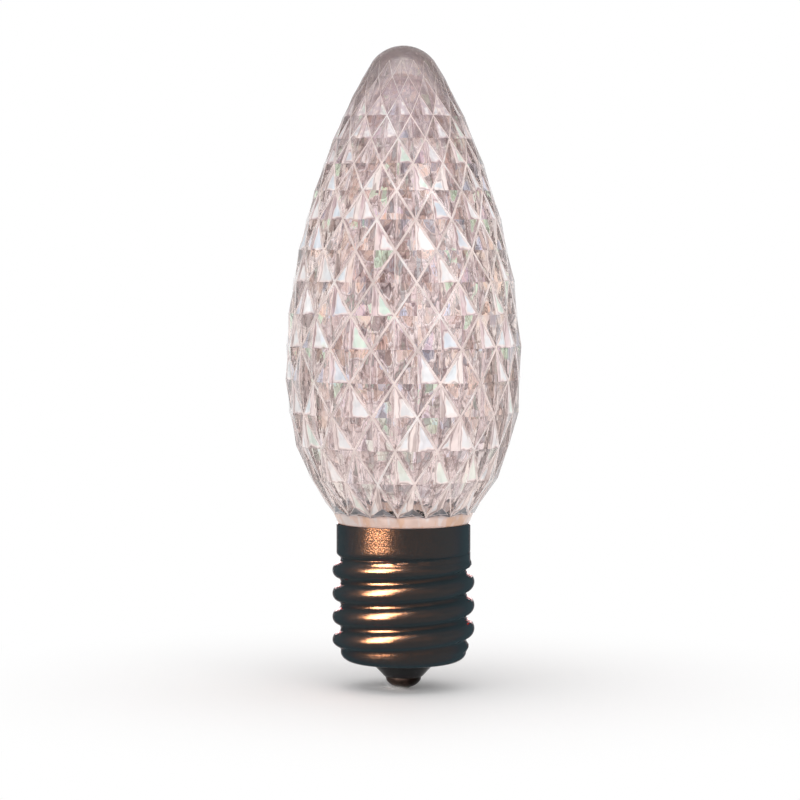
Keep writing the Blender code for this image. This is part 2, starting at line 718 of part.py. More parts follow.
def make_shell_solder(finish):
    """The solder bead on the shell's inside, with a socket where the wire's end sits in it."""
    bead_radius = THREAD_ROOT_BORE - ASSEMBLY_GAP - SOLDER_RADIUS
    bm = bmesh.new()
    bmesh.ops.create_uvsphere(bm, u_segments=16, v_segments=10, radius=SOLDER_RADIUS)
    bead = add_object("shell_solder", mesh_from(bm, "shell_solder"), finish)
    bead.location = wire_place(bead_radius, WIRE_END_HEIGHT)
    socket_radius = WIRE_RADIUS + ASSEMBLY_GAP
    socket_floor = WIRE_END_HEIGHT + SOLDER_RADIUS - SOLDER_SINK
    profile = [
        (0.0, socket_floor + 2 * SOLDER_RADIUS),
        (socket_radius, socket_floor + 2 * SOLDER_RADIUS),
        (socket_radius, socket_floor),
        (0.0, socket_floor),
    ]
    cutter = helper("wire_socket", turned_mesh("wire_socket", profile, 16))
    cutter.location = wire_place(bead_radius, 0.0)
    boolean(bead, cutter, "DIFFERENCE")
    return bead


def build():
    """Makes every sub-part in its place."""
    clear_scene()
    clear_plastic = material("clear_plastic", (0.93, 0.86, 0.84), 0.03, transmission=1.0)
    bronze = material("bronze_plated_shell", (0.16, 0.085, 0.05), 0.22, metallic=1.0)
    contact_metal = material("contact_metal", (0.20, 0.13, 0.09), 0.30, metallic=1.0)
    solder = material("solder", (0.30, 0.29, 0.28), 0.35, metallic=1.0)
    black_glass = material("black_glass", (0.012, 0.012, 0.014), 0.12)
    board_white = material("board_white", (0.82, 0.82, 0.78), 0.45)
    led_white = material("led_white", (0.85, 0.84, 0.80), 0.40)
    phosphor_yellow = material("phosphor_yellow", (0.90, 0.62, 0.10), 0.50)
    black_moulding = material("black_moulding", (0.02, 0.02, 0.02), 0.45)
    resistor_coat = material("resistor_coat", (0.72, 0.58, 0.38), 0.45)
    wire_sleeve = material("wire_sleeve", (0.05, 0.05, 0.05), 0.50)

    make_lens(clear_plastic)
    make_screw_shell(bronze)
    make_insulator(black_glass)
    make_centre_contact(contact_metal)
    make_contact_solder(solder)
    make_board(board_white)
    make_leds(led_white, phosphor_yellow)
    make_rectifier(black_moulding)
    make_resistor(resistor_coat)
    make_return_wire(wire_sleeve)
    make_shell_solder(solder)


if __name__ == "__main__":
    build()
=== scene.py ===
"""The looks of a faceted screw-in festoon bulb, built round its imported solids.

The bulb stands on its centre contact with its axis along +Z. Lengths are in metres and angles in
degrees. Each operator makes one piece, or one group of like pieces, and the last one makes the stage.
"""

import math
import random

import bmesh
import bpy
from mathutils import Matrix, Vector, noise


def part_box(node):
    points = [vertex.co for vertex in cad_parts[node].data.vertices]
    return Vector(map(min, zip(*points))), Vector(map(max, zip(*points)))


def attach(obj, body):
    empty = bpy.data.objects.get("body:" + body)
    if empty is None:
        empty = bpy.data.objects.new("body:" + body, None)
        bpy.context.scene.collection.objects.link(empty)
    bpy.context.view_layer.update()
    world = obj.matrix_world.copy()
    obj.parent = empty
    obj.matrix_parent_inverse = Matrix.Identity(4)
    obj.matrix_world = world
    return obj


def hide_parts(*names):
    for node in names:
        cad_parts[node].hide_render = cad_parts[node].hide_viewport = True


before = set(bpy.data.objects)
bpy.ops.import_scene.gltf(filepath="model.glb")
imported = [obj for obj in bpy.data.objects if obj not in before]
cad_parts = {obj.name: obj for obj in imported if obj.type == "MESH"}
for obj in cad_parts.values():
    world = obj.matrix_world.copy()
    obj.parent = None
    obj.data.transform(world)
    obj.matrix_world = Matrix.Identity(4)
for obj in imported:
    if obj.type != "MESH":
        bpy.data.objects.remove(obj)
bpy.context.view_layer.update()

bl_info = {
    "name": "Faceted festoon bulb",
    "version": (1, 0, 0),
    "blender": (4, 5, 0),
    "location": "3D View > Sidebar > Festoon bulb",
    "description": "Builds the detailed pieces of a faceted festoon bulb and its studio",
    "category": "Object",
}

BODY = "root"

# The lens's fixed proportions, the same as in the solid
OVERALL_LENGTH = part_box("lens")[1].z
RIM_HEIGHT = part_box("screw_shell")[1].z
ASSEMBLY_GAP = 0.00005
FLANGE_HEIGHT = 0.0015
FLANGE_TOP_RADIUS = 0.00856
FLANGE_FOOT_RADIUS = 0.0079
SPIGOT_RADIUS = 0.0074
SPIGOT_LENGTH = 0.0028
THROAT_RADIUS = 0.0054
THROAT_LENGTH = 0.0022
BOARD_BORE = 0.0061
FLANK_ANGLE = 45.5
FLANK_HANDLE = 0.33
BELLY_HANDLE_BELOW = 0.385
BELLY_HANDLE_ABOVE = 0.445
NOSE_HANDLE = 0.185
NOSE_RADIUS = 0.00465
NOSE_LEAN = 32.5
CAVITY_NOSE_RADIUS = 0.0022
TIP_WALL = 0.0042
COLUMN_TURN = -4.5
BELLY_ROW_STEP = 0.00399
TIP_ROW_STEP = 0.0009
ROW_STEP_PER_RADIUS = 0.2135
CAP_RADIUS = 0.0035
CLOSING_FACET_HEIGHT = 0.0010
FLANGE_FOOT = RIM_HEIGHT + ASSEMBLY_GAP
FLANGE_TOP = FLANGE_FOOT + FLANGE_HEIGHT
SPIGOT_FOOT = RIM_HEIGHT - SPIGOT_LENGTH
SEAT_HEIGHT = FLANGE_TOP - THROAT_LENGTH

# How far the flange's two edges are eased
FLANGE_LIP_IN = 0.00002
FLANGE_LIP_DOWN = 0.00006
FLANGE_FOOT_OUT = 0.00006
FLANGE_FOOT_UP = 0.00008

# How finely the smooth faces are divided
OUTLINE_STEPS = 60
SMOOTH_SPLIT = 4
CAP_RINGS = 12
CAVITY_STEPS = 44
SHELL_SEGMENTS = 160
SHELL_ROWS_PER_PITCH = 22
SKIRT_ROWS = 10
CURL_STEPS = 14
TURNED_SEGMENTS = 96
CONTACT_STEPS = 18
SOLDER_SEGMENTS = 64
FLOOR_SEGMENTS = 96
PHOSPHOR_SEGMENTS = 32
PHOSPHOR_DOME_STEPS = 5

# Points nearer to each other than this are one
MERGE_DISTANCE = 1e-7

# The screw shell's fixed proportions, the same as in the solid
THREAD_PHASE = 0.0085
SKIRT_LENGTH = 0.0036
RIDGE_RUN_OUT = 0.0012
THREAD_FADE = 0.0008
THREAD_FOOT_FADE = 0.0014
SHOULDER_HEIGHT = 0.0044
MOUTH_RADIUS = 0.0054
CURL_DROP = 0.0010
THREAD_CREST_HEIGHT = RIM_HEIGHT - THREAD_PHASE
THREAD_GROOVE_TOP = RIM_HEIGHT - SKIRT_LENGTH
THREAD_RIDGE_TOP = THREAD_GROOVE_TOP - RIDGE_RUN_OUT

# The small bevel on the shell's rims, as a share of its wall, and the least angle that gets one
RIM_BEVEL_SHARE = 0.15
RIM_BEVEL_ANGLE = 50.0

# The foot of the base
CONTACT_RADIUS = 0.00215
CONTACT_HEIGHT = 0.00135
CONTACT_HOLE_RADIUS = 0.0009
CONTACT_TIP_RADIUS = 0.0007
LEAD_RADIUS = 0.0003
SOLDER_TIP_EASE = 0.000004
SOLDER_SHOULDER = 0.00004
SOLDER_LUMP = 0.00003
SOLDER_LUMP_TOP = 0.0002
SOLDER_LUMPS = 2500
INSULATOR_BORE = 0.0008
INSULATOR_NOSE_RADIUS = 0.0023
INSULATOR_STEP_RADIUS = 0.0038
INSULATOR_STEP_HEIGHT = 0.0030
INSULATOR_RIM_REACH = 0.0010
INSULATOR_RIM_LIFT = 0.0003
INSULATOR_RIM_SLOPE = 0.0005
INSULATOR_RIM_DEPTH = 0.0012
INSULATOR_ROUNDING = 0.00012

# The diodes
BOARD_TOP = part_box("circuit_board")[1].z
LED_LENGTH = 0.0030
LED_WIDTH = 0.0020
LED_HEIGHT = 0.0009
LED_FRAME = 0.0003
LED_CUP_DEPTH = 0.0005
LED_CUP_TAPER = 0.0002
LED_DOME = 0.00012
LED_RING_RADIUS = 0.0034
LED_RING_COUNT = 4
LED_ROUNDING = 0.00005
PHOSPHOR_SQUARENESS = 0.7
PHOSPHOR_DOME_IN = 2.4

# The lens's materials, in the order of its material slots
FACET_FINISH, GROOVE_FINISH, INNER_FINISH, FLANGE_FINISH, PAINTED_LIGHT_FINISH = range(5)
PLASTIC_IOR = 1.49

# Tints of the moulded facets by their place on a pyramid: round the edge, and in the core. Much of this is
# painted light: the white, mint and ice cores, most of them on upper right facets, are painted highlights,
# while the darker cores of lower facets and the near-black closing facets are painted shade.
EDGE_TINTS = {
    "upper_right": ((0.82, 0.64, 0.66), (0.99, 0.84, 0.81), (0.64, 0.48, 0.50)),
    "upper_left": ((0.97, 0.78, 0.70), (0.88, 0.71, 0.72), (1.0, 0.90, 0.85)),
    "lower": ((0.90, 0.73, 0.67), (0.99, 0.87, 0.82), (0.76, 0.61, 0.60)),
    "closing": ((0.12, 0.13, 0.15), (0.15, 0.16, 0.18)),
}
CORE_TINTS = {
    "upper_right": (
        (1.0, 1.0, 1.0),
        (0.83, 1.0, 0.86),
        (0.86, 0.93, 1.0),
        (1.0, 1.0, 1.0),
        (1.0, 0.84, 0.75),
        (0.66, 0.54, 0.52),
    ),
    "upper_left": (
        (0.80, 0.86, 1.0),
        (0.88, 0.96, 1.0),
        (0.60, 0.46, 0.41),
        (1.0, 0.79, 0.69),
        (1.0, 0.87, 0.80),
        (0.72, 0.57, 0.53),
        (0.92, 0.79, 0.88),
    ),
    "lower": (
        (0.56, 0.48, 0.47),
        (0.70, 0.56, 0.50),
        (0.79, 1.0, 0.79),
        (1.0, 0.88, 0.80),
        (0.56, 0.55, 0.60),
        (0.99, 0.80, 0.70),
        (0.88, 0.75, 0.73),
    ),
    "closing": ((0.10, 0.11, 0.12), (0.14, 0.15, 0.17)),
}
# Where a core begins: from the upright ridge, from the groove, and how near it gets to the far corner
CORE_LIMITS = {
    "upper_right": ((0.12, 0.34), (0.04, 0.12), (0.45, 0.90)),
    "upper_left": ((0.26, 0.50), (0.05, 0.15), (0.30, 0.75)),
    "lower": ((0.00, 0.34), (0.05, 0.35), (0.25, 0.60)),
    "closing": ((-0.30, -0.25), (0.06, 0.12), (0.70, 0.90)),
}
TINT_SEED = 11

# A facet gets the less clear finish of painted light if every channel of its core tint is paler than this,
# and it isn't near the cap: its pale core then shows as a painted highlight. The closing facets get this
# finish too, as painted shade.
PAINTED_LIGHT_CORE = 0.825
PAINTED_LIGHT_FADE = 0.75
# How far a core stays from the facet's level edge, where clear facets keep no border
PAINTED_LIGHT_LEVEL = 0.07
CLEAR_LEVEL = -1.0
# A clear core's channels are raised to this power, and to less where it is warm
CORE_POWER = 2.0
CORE_POWER_LOSS = 1.1

# The facets' tints lean to warm towards the flange, and to the cap's tint towards the tip
FLANGE_WARMTH = Vector((1.0, 0.85, 0.79))
WARM_TOP = 0.040
WARM_REACH = 0.014
WARM_EDGE_SHARE = 0.95
WARM_CORE_SHARE = 0.45
CAP_TINT = Vector((0.89, 0.77, 0.74))
CAP_FADE_FOOT = OVERALL_LENGTH - 0.0140
CAP_FADE_TOP = OVERALL_LENGTH - 0.0035
CAP_EDGE_SHARE = 0.85
CAP_CORE_SHARE = 0.7

# The outside's streaks, lines, glow and haze. The dark line beside the grooves is painted shade, the dark rim
# and the pale lip round a core are painted shade and a painted highlight, the glow is a patchy cool tone in
# the cores, and the groove glint is a painted glint.
STREAK_DARK = (0.30, 0.21, 0.20)
STREAK_PALE = (1.0, 0.88, 0.84)
BESIDE_GROOVE = (0.34, 0.24, 0.23)
CORE_RIM = (0.30, 0.22, 0.22)
CORE_LIP = (1.0, 0.93, 0.90)
CORE_GLOW = (0.88, 0.92, 0.94)
PLASTIC_HAZE = (0.965, 0.945, 0.950)
GROOVE_GLINT = (1.0, 0.95, 0.93)

# The frost near the tip, and the clouds in it
FROST_FOOT = OVERALL_LENGTH - 0.0190
FROST_TOP = OVERALL_LENGTH - 0.0040
FROST_ROUGHNESS = 0.26
TIP_CLOUD = (0.56, 0.46, 0.50)
TIP_CLOUD_STRENGTH = 3.6

# The flange's streaks, and its darker upper edge
FLANGE_WHITE = (0.99, 0.93, 0.92)
FLANGE_ORANGE = (0.90, 0.56, 0.38)
FLANGE_EDGE = (0.62, 0.46, 0.44)
FLANGE_EDGE_FOOT = FLANGE_TOP - 0.0005
FLANGE_EDGE_TOP = FLANGE_TOP - 0.0002

# Flow lines on the inner face: where each lies in the flow, its width and its tint
FLOW_LINES = (
    (0.41, 0.014, (0.56, 0.43, 0.42)),
    (0.50, 0.010, (0.88, 1.0, 0.92)),
    (0.58, 0.012, (0.60, 0.47, 0.46)),
)
# The inner face's ripples: they begin off the axis, and come this many to the metre
RIPPLE_START = 0.0012
RIPPLE_FULL = 0.0055
RIPPLES_ROUND = 620
RIPPLES_ALONG = 210

# Widths of the grooves' flats: they narrow towards the tip, and are less on the upright ridges
GROOVE_FADE_FOOT = OVERALL_LENGTH - 0.0200
GROOVE_FADE_TOP = OVERALL_LENGTH - 0.0040
GROOVE_FADE_SHARE = 0.88
RIDGE_SHARE = 0.38
RIDGE_LEAST_RISE = 0.0002

# Wear, and the board's bare ring: how far from the axis each begins, and how far it is full
CREST_WEAR = (0.0079, 0.0083)
CONTACT_WEAR = (0.0022, 0.0009)
SOLDER_WEAR = (0.0009, 0.0003)
BOARD_RING = (0.00545, 0.00560)

# The studio: azimuth and elevation in degrees, width, height and radiance of each lamp
SOFT_LAMPS = (
    ("soft_top", -20.0, 62.0, 0.9, 0.9, 0.9),
    ("soft_front", 30.0, 20.0, 0.8, 0.8, 1.3),
)
# The same after its group of pieces, for each lamp that lights only their gloss
GLOSS_LAMPS = (
    ("base", "strip_front", -45.0, 38.0, 0.54, 0.66, 190.0),
    ("base", "strip_back", 180.0, 36.0, 0.40, 0.34, 10.0),
    ("base", "low_front", -45.0, 10.0, 0.52, 0.26, 275.0),
    ("base", "low_back", 180.0, 9.0, 0.40, 0.20, 26.0),
    ("base", "glow_front", -45.0, 30.0, 0.30, 0.90, 70.0),
    ("base", "glow_top", -45.0, 66.0, 0.30, 0.50, 110.0),
    ("plastic", "glint_front", 35.0, 26.0, 0.16, 0.50, 3.0),
    ("plastic", "glint_back", 260.0, 26.0, 0.16, 0.50, 2.0),
)
LIT_PIECES = {
    "base": ("rolled_shell", "insulator_cone", "contact_eyelet", "tip_solder"),
    "plastic": ("faceted_lens",),
}
SOFT_LAMP_DISTANCE = 1.1
GLOSS_LAMP_DISTANCE = 0.8
LAMP_AIM = Vector((0.0, 0.0, 0.02))
FLOOR_FADE_START = 0.012
FLOOR_FADE_END = 0.065
HORIZON_START = 0.066
HORIZON_END = 0.26
STUDIO_BANDS = 7.0
STUDIO_DIFFUSE = (0.88, 0.88, 0.88)
WHITE = (1.0, 1.0, 1.0)
SENSOR_WIDTH = 36.0
BOUNCES = {"max_bounces": 24, "transmission_bounces": 18, "glossy_bounces": 10}


def length(name, description, default):
    """A length that the user can change."""
    kind = {"min": 0.0, "precision": 5, "subtype": "DISTANCE", "unit": "LENGTH"}
    return bpy.props.FloatProperty(name=name, description=description, default=default, **kind)


def colour(name, description, default):
    """A colour that the user can change."""
    kind = {"size": 3, "min": 0.0, "max": 1.0, "subtype": "COLOR"}
    return bpy.props.FloatVectorProperty(name=name, description=description, default=default, **kind)


class LensSettings(bpy.types.PropertyGroup):
    """Sizes and colours of the clear lens."""

    diameter: length("Diameter", "Across the pyramid tips at the belly", 0.02858)
    belly_height: length("Belly height", "Height of the widest place", 0.0387)
    wall: length("Wall", "Thickness of the plastic at the belly", 0.0048)
    groove_width: length("Groove width", "Width of the flat at the bottom of a groove", 0.00026)
    columns: bpy.props.IntProperty(name="Columns", description="Pyramids in one row", default=16, min=6)
    # Shallower than the solid's grooves, which are 0.085 of a pyramid's width deep
    relief: bpy.props.FloatProperty(
        name="Relief", description="Depth of a groove as a share of a pyramid's width", default=0.055, min=0.0
    )
    ripple: length("Inner ripple", "Height of the flow ripples on the inside", 0.00005)
    # The grooves' pale tint is partly frost and partly a painted highlight.
    groove_colour: colour("Groove", "Tint of the frosted plastic along the grooves", (1.0, 0.84, 0.79))
    flange_colour: colour("Flange", "Tint of the milky flange", (0.96, 0.71, 0.60))
    inner_colour: colour("Inside", "Tint of the plastic at the inner face", (0.985, 0.955, 0.990))


class ShellSettings(bpy.types.PropertyGroup):
    """Sizes and colours of the screw shell."""

    thread_diameter: length("Thread diameter", "Over the crests", 0.0166)
    thread_depth: length("Thread depth", "From crest to root", 0.0010)
    pitch: length("Pitch", "From one crest to the next", 0.002822)
    wall: length("Wall", "Thickness of the sheet", 0.0003)
    dark: colour("Plating", "The dark bronze plating", (0.0165, 0.0066, 0.0028))
    warm: colour("Warm patches", "Where the plating is thinner", (0.0220, 0.0084, 0.0032))
    worn: colour("Worn crests", "Brass that shows where the thread is rubbed", (0.060, 0.024, 0.009))


class FootSettings(bpy.types.PropertyGroup):
    """Colours of the insulator and the contact."""

    glass: colour("Insulator", "The black glass", (0.006, 0.006, 0.007))
    contact: colour("Contact", "The plated eyelet", (0.016, 0.010, 0.008))
    solder: colour("Solder", "The dull solder", (0.300, 0.290, 0.280))


class CircuitSettings(bpy.types.PropertyGroup):
    """Colours of the board and what it carries."""

    board: colour("Board", "The white lacquer", (0.82, 0.82, 0.78))
    copper: colour("Copper", "The bare ring at the board's edge", (0.72, 0.38, 0.20))
    package: colour("Diode", "The diode's frame", (0.85, 0.84, 0.80))
    phosphor: colour("Phosphor", "The filling of the diode", (0.90, 0.62, 0.10))
    moulding: colour("Rectifier", "The black moulding", (0.020, 0.020, 0.020))
    resistor: colour("Resistor", "The resistor's lacquer", (0.72, 0.58, 0.38))
    sleeve: colour("Wire", "The wire's sleeve", (0.050, 0.050, 0.050))


class StageSettings(bpy.types.PropertyGroup):
    """The camera, the floor and the light."""

    distance: length("Camera distance", "From the camera to the bulb's axis", 0.4)
    view_width: length("View width", "Width that the picture shows at the bulb", 800 / 8284)
    aim_height: length("Aim height", "Height that the camera looks at", 0.0349)
    aim_side: bpy.props.FloatProperty(
        name="Aim side", description="Sideways place of the camera's aim", default=-0.00042, unit="LENGTH"
    )
    elevation: bpy.props.FloatProperty(
        name="Elevation",
        description="Camera's angle above the level",
        default=math.radians(3.1),
        subtype="ANGLE",
    )
    floor_radius: length("Floor radius", "Reach of the floor", 2.5)
    floor_colour: colour("Floor", "The pale floor", (0.95, 0.95, 0.95))
    aloft_colour: colour("Above", "The studio above the backdrop", (0.80, 0.72, 0.71))


SETTINGS = {
    "bulb_lens": LensSettings,
    "bulb_shell": ShellSettings,
    "bulb_foot": FootSettings,
    "bulb_circuit": CircuitSettings,
    "bulb_stage": StageSettings,
}


# Mesh building


def smooth_step(value, start, end):
    """Runs smoothly from 0 at start to 1 at end."""
    share = min(1.0, max(0.0, (value - start) / (end - start)))
    return share * share * (3 - 2 * share)


def add_ring(bm, radius, height, segments, turn=0.0):
    """A ring of vertices about the axis."""
    ring = []
    for step in range(segments):
        angle = math.radians(turn) + 2 * math.pi * step / segments
        ring.append(bm.verts.new((radius * math.cos(angle), radius * math.sin(angle), height)))
    return ring


def join_rings(bm, first, second, smooth=True):
    """Faces between two rings, of which the second may have a multiple of the first's vertices."""
    made = []
    split = len(second) // len(first)
    for step, vertex in enumerate(first):
        after = first[(step + 1) % len(first)]
        fan = [second[(step * split + part) % len(second)] for part in range(split + 1)]
        made.append(bm.faces.new((vertex, after, *reversed(fan))))
    for face in made:
        face.smooth = smooth
    return made


def join_to_point(bm, ring, point):
    """A fan of smooth triangles from a ring to one vertex."""
    made = []
    for step, vertex in enumerate(ring):
        face = bm.faces.new((vertex, ring[(step + 1) % len(ring)], point))
        face.smooth = True
        made.append(face)
    return made


def turned_bmesh(profile, segments):
    """A smooth turned solid from (radius, height) points, closed on itself or ended on the axis."""
    bm = bmesh.new()
    rings = []
    for radius, height in profile:
        if radius == 0.0:
            rings.append(bm.verts.new((0.0, 0.0, height)))
        else:
            rings.append(add_ring(bm, radius, height, segments))
    pairs = list(zip(rings, rings[1:]))
    if profile[0][0] != 0.0:
        pairs.append((rings[-1], rings[0]))
    for first, second in pairs:
        if isinstance(first, bmesh.types.BMVert):
            join_to_point(bm, second, first)
        elif isinstance(second, bmesh.types.BMVert):
            join_to_point(bm, first, second)
        else:
            join_rings(bm, first, second)
    bmesh.ops.recalc_face_normals(bm, faces=bm.faces)
    return bm


def rounded(profile, radius, steps=4):
    """The profile with each corner off the axis turned into a small curve."""
    made = []
    count = len(profile)
    closed = profile[0][0] != 0.0
    for index, point in enumerate(profile):
        before, after = profile[index - 1], profile[(index + 1) % count]
        if point[0] == 0.0 or (not closed and index in (0, count - 1)):
            made.append(point)
            continue
        here, back, on = Vector(point), Vector(before), Vector(after)
        reach = min(radius, (back - here).length * 0.45, (on - here).length * 0.45)
        start = here + (back - here).normalized() * reach
        end = here + (on - here).normalized() * reach
        for step in range(steps + 1):
            along = step / steps
            place = start * (1 - along) ** 2 + here * 2 * along * (1 - along) + end * along**2
            made.append((place.x, place.y))
    return made


def add_piece(name, bm, materials, replaced, crease=None):
    """Puts a bmesh in the scene as a piece that stands for CAD nodes and rides on the bulb."""
    mesh = bpy.data.meshes.new(name)
    bm.to_mesh(mesh)
    bm.free()
    if crease is not None:
        mesh.set_sharp_from_angle(angle=math.radians(crease))
    for finish in materials:
        mesh.materials.append(finish)
    piece = bpy.data.objects.new(name, mesh)
    bpy.context.scene.collection.objects.link(piece)
    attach(piece, BODY)
    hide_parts(*replaced)
    return piece


def apply_modifiers(piece):
    """Turns a piece's modifiers into its mesh."""
    graph = bpy.context.evaluated_depsgraph_get()
    made = bpy.data.meshes.new_from_object(piece.evaluated_get(graph))
    old = piece.data
    piece.modifiers.clear()
    piece.data = made
    bpy.data.meshes.remove(old)


def finish_node(node, finish):
    """Gives a CAD node its detailed finish."""
    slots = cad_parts[node].material_slots
    if not slots:
        raise RuntimeError(f"{node} has no material slot")
    for slot in slots:
        slot.material = finish


# Shading


def place_node(tree, kind, values=None, **settings):
    """A shader node with its settings, and with values or links for its inputs."""
    made = tree.nodes.new(kind)
    for name, value in settings.items():
        setattr(made, name, value)
    for socket, value in (values or {}).items():
        if isinstance(value, bpy.types.NodeSocket):
            tree.links.new(value, made.inputs[socket])
        else:
            made.inputs[socket].default_value = value
    return made


def shared_group(name, inputs, output, fill):
    """The node group of this name. At its first use fill builds its inside and returns what it gives."""
    found = bpy.data.node_groups.get(name)
    if found:
        return found
    group = bpy.data.node_groups.new(name, "ShaderNodeTree")
    for label, default in inputs.items():
        socket = group.interface.new_socket(name=label, in_out="INPUT", socket_type="NodeSocketFloat")
        socket.default_value = default
    group.interface.new_socket(name=output, in_out="OUTPUT", socket_type="NodeSocketFloat")
    given = group.nodes.new("NodeGroupInput").outputs
    out = group.nodes.new("NodeGroupOutput")
    group.links.new(fill(group, given), out.inputs[output])
    return group


def use_group(tree, group, values):
    """Places a node group with its own values or links, and returns its output."""
    return place_node(tree, "ShaderNodeGroup", values, node_tree=group).outputs[0]


def calc(tree, operation, *values):
    """What a math node makes of some values, each a number or a link."""
    return place_node(tree, "ShaderNodeMath", dict(enumerate(values)), operation=operation).outputs[0]


def ramp(tree, value, start, end, low=0.0, high=1.0, kind="LINEAR"):
    """Runs from low to high as a value goes from start to end."""
    values = {"Value": value, "From Min": start, "From Max": end, "To Min": low, "To Max": high}
    return place_node(tree, "ShaderNodeMapRange", values, interpolation_type=kind).outputs["Result"]


def smooth_mask(tree, value, start, end, low, high):
    """A smooth run between two levels."""
    return ramp(tree, value, start, end, low, high, "SMOOTHSTEP")


def span(tree, mask, low, high):
    """A mask from 0 to 1, spread between two values."""
    return ramp(tree, mask, 0.0, 1.0, low, high)


def object_point(tree):
    """The point on the object."""
    return place_node(tree, "ShaderNodeTexCoord").outputs["Object"]


def object_parts(tree):
    """The X, Y and Z of the point on the object."""
    return place_node(tree, "ShaderNodeSeparateXYZ", {"Vector": object_point(tree)}).outputs


def vector_length(tree, vector):
    """The length of a vector."""
    return place_node(tree, "ShaderNodeVectorMath", {0: vector}, operation="LENGTH").outputs["Value"]


def noise_mask(tree, point, scale, detail=2.0):
    """Cloudy noise at a point."""
    values = {"Vector": point, "Scale": scale, "Detail": detail}
    return place_node(tree, "ShaderNodeTexNoise", values).outputs["Fac"]


def fill_mottle(tree, given):
    """The inside of the mottle group."""
    patches = noise_mask(tree, object_point(tree), given["Scale"], given["Detail"])
    return ramp(tree, patches, given["Low"], given["High"])


def mottle_mask(tree, scale, low=0.35, high=0.65, detail=4.0):
    """Soft patches between 0 and 1, for tarnish, haze and uneven lacquer."""
    values = {"Scale": scale, "Detail": detail, "Low": low, "High": high}
    return use_group(tree, shared_group("mottle", values, "Mask", fill_mottle), values)


def fill_streaks(tree, given):
    """The inside of the streak group: noise that is drawn out, or squeezed, along the axis."""
    parts = object_parts(tree)
    upright = calc(tree, "MULTIPLY", parts["Z"], given["Upright"])
    point = place_node(tree, "ShaderNodeCombineXYZ", {"X": parts["X"], "Y": parts["Y"], "Z": upright})
    return noise_mask(tree, point.outputs[0], given["Scale"], given["Detail"])


def streak_height(tree, scale, upright, detail=3.0):
    """Fine drawn-out lines, for the marks of rolling, drawing and moulding."""
    values = {"Scale": scale, "Upright": upright, "Detail": detail}
    return use_group(tree, shared_group("streaks", values, "Height", fill_streaks), values)


def fill_rub(tree, given):
    """The inside of the rub group: how far a point stands out from the axis, broken up by patches."""
    parts = object_parts(tree)
    flat = place_node(tree, "ShaderNodeCombineXYZ", {"X": parts["X"], "Y": parts["Y"]})
    edge = ramp(tree, vector_length(tree, flat.outputs[0]), given["Inner"], given["Outer"])
    patches = noise_mask(tree, object_point(tree), given["Scale"])
    return calc(tree, "MULTIPLY", edge, ramp(tree, patches, 0.42, 0.68))


def rub_mask(tree, wear, scale):
    """Wear on crests and edges, from where it begins to where it is full."""
    values = {"Inner": wear[0], "Outer": wear[1], "Scale": scale}
    return use_group(tree, shared_group("rub", values, "Mask", fill_rub), values)


def fill_line(tree, given):
    """The inside of the line group."""
    away = calc(tree, "ABSOLUTE", calc(tree, "SUBTRACT", given["Value"], given["Centre"]))
    return ramp(tree, away, 0.0, given["Width"], 1.0, 0.0)


def line_mask(tree, value, centre, width):
    """A thin line where a value passes its centre, fading to nothing at its width."""
    group = shared_group("line", {"Value": 0.0, "Centre": centre, "Width": width}, "Mask", fill_line)
    return use_group(tree, group, {"Value": value, "Centre": centre, "Width": width})


def mix_colours(tree, share, first, second, mode="MIX"):
    """A mix of two colours, each a value or a link."""
    made = place_node(tree, "ShaderNodeMix", data_type="RGBA", blend_type=mode)
    for index, value in ((0, share), (6, first), (7, second)):
        if isinstance(value, bpy.types.NodeSocket):
            tree.links.new(value, made.inputs[index])
        elif index == 0:
            made.inputs[index].default_value = value
        else:
            made.inputs[index].default_value = (*value, 1.0)
    return made.outputs[2]


def bump(tree, height, strength, distance):
    """A bump normal from a height."""
    made = place_node(tree, "ShaderNodeBump", {"Height": height, "Strength": strength, "Distance": distance})
    return made.outputs["Normal"]


def new_finish(name, **constants):
    """A material with a Principled shader, its constants set on its own sockets."""
    made = bpy.data.materials.new(name)
    made.use_nodes = True
    shader = made.node_tree.nodes["Principled BSDF"]
    for label, value in constants.items():
        shader.inputs[label.replace("_", " ")].default_value = value
    return made, made.node_tree, shader


def read_attribute(tree, name, part="Color"):
    """A colour stored on the mesh, or its alpha."""
    return place_node(tree, "ShaderNodeAttribute", attribute_name=name).outputs[part]


def darkened(tint, share):
    """A share of a tint."""
    return tuple(channel * share for channel in tint)


def link_finish(tree, shader, tint, roughness, normal):
    """Gives a shader its colour, roughness and normal."""
    for label, value in (("Base Color", tint), ("Roughness", roughness), ("Normal", normal)):
        tree.links.new(value, shader.inputs[label])


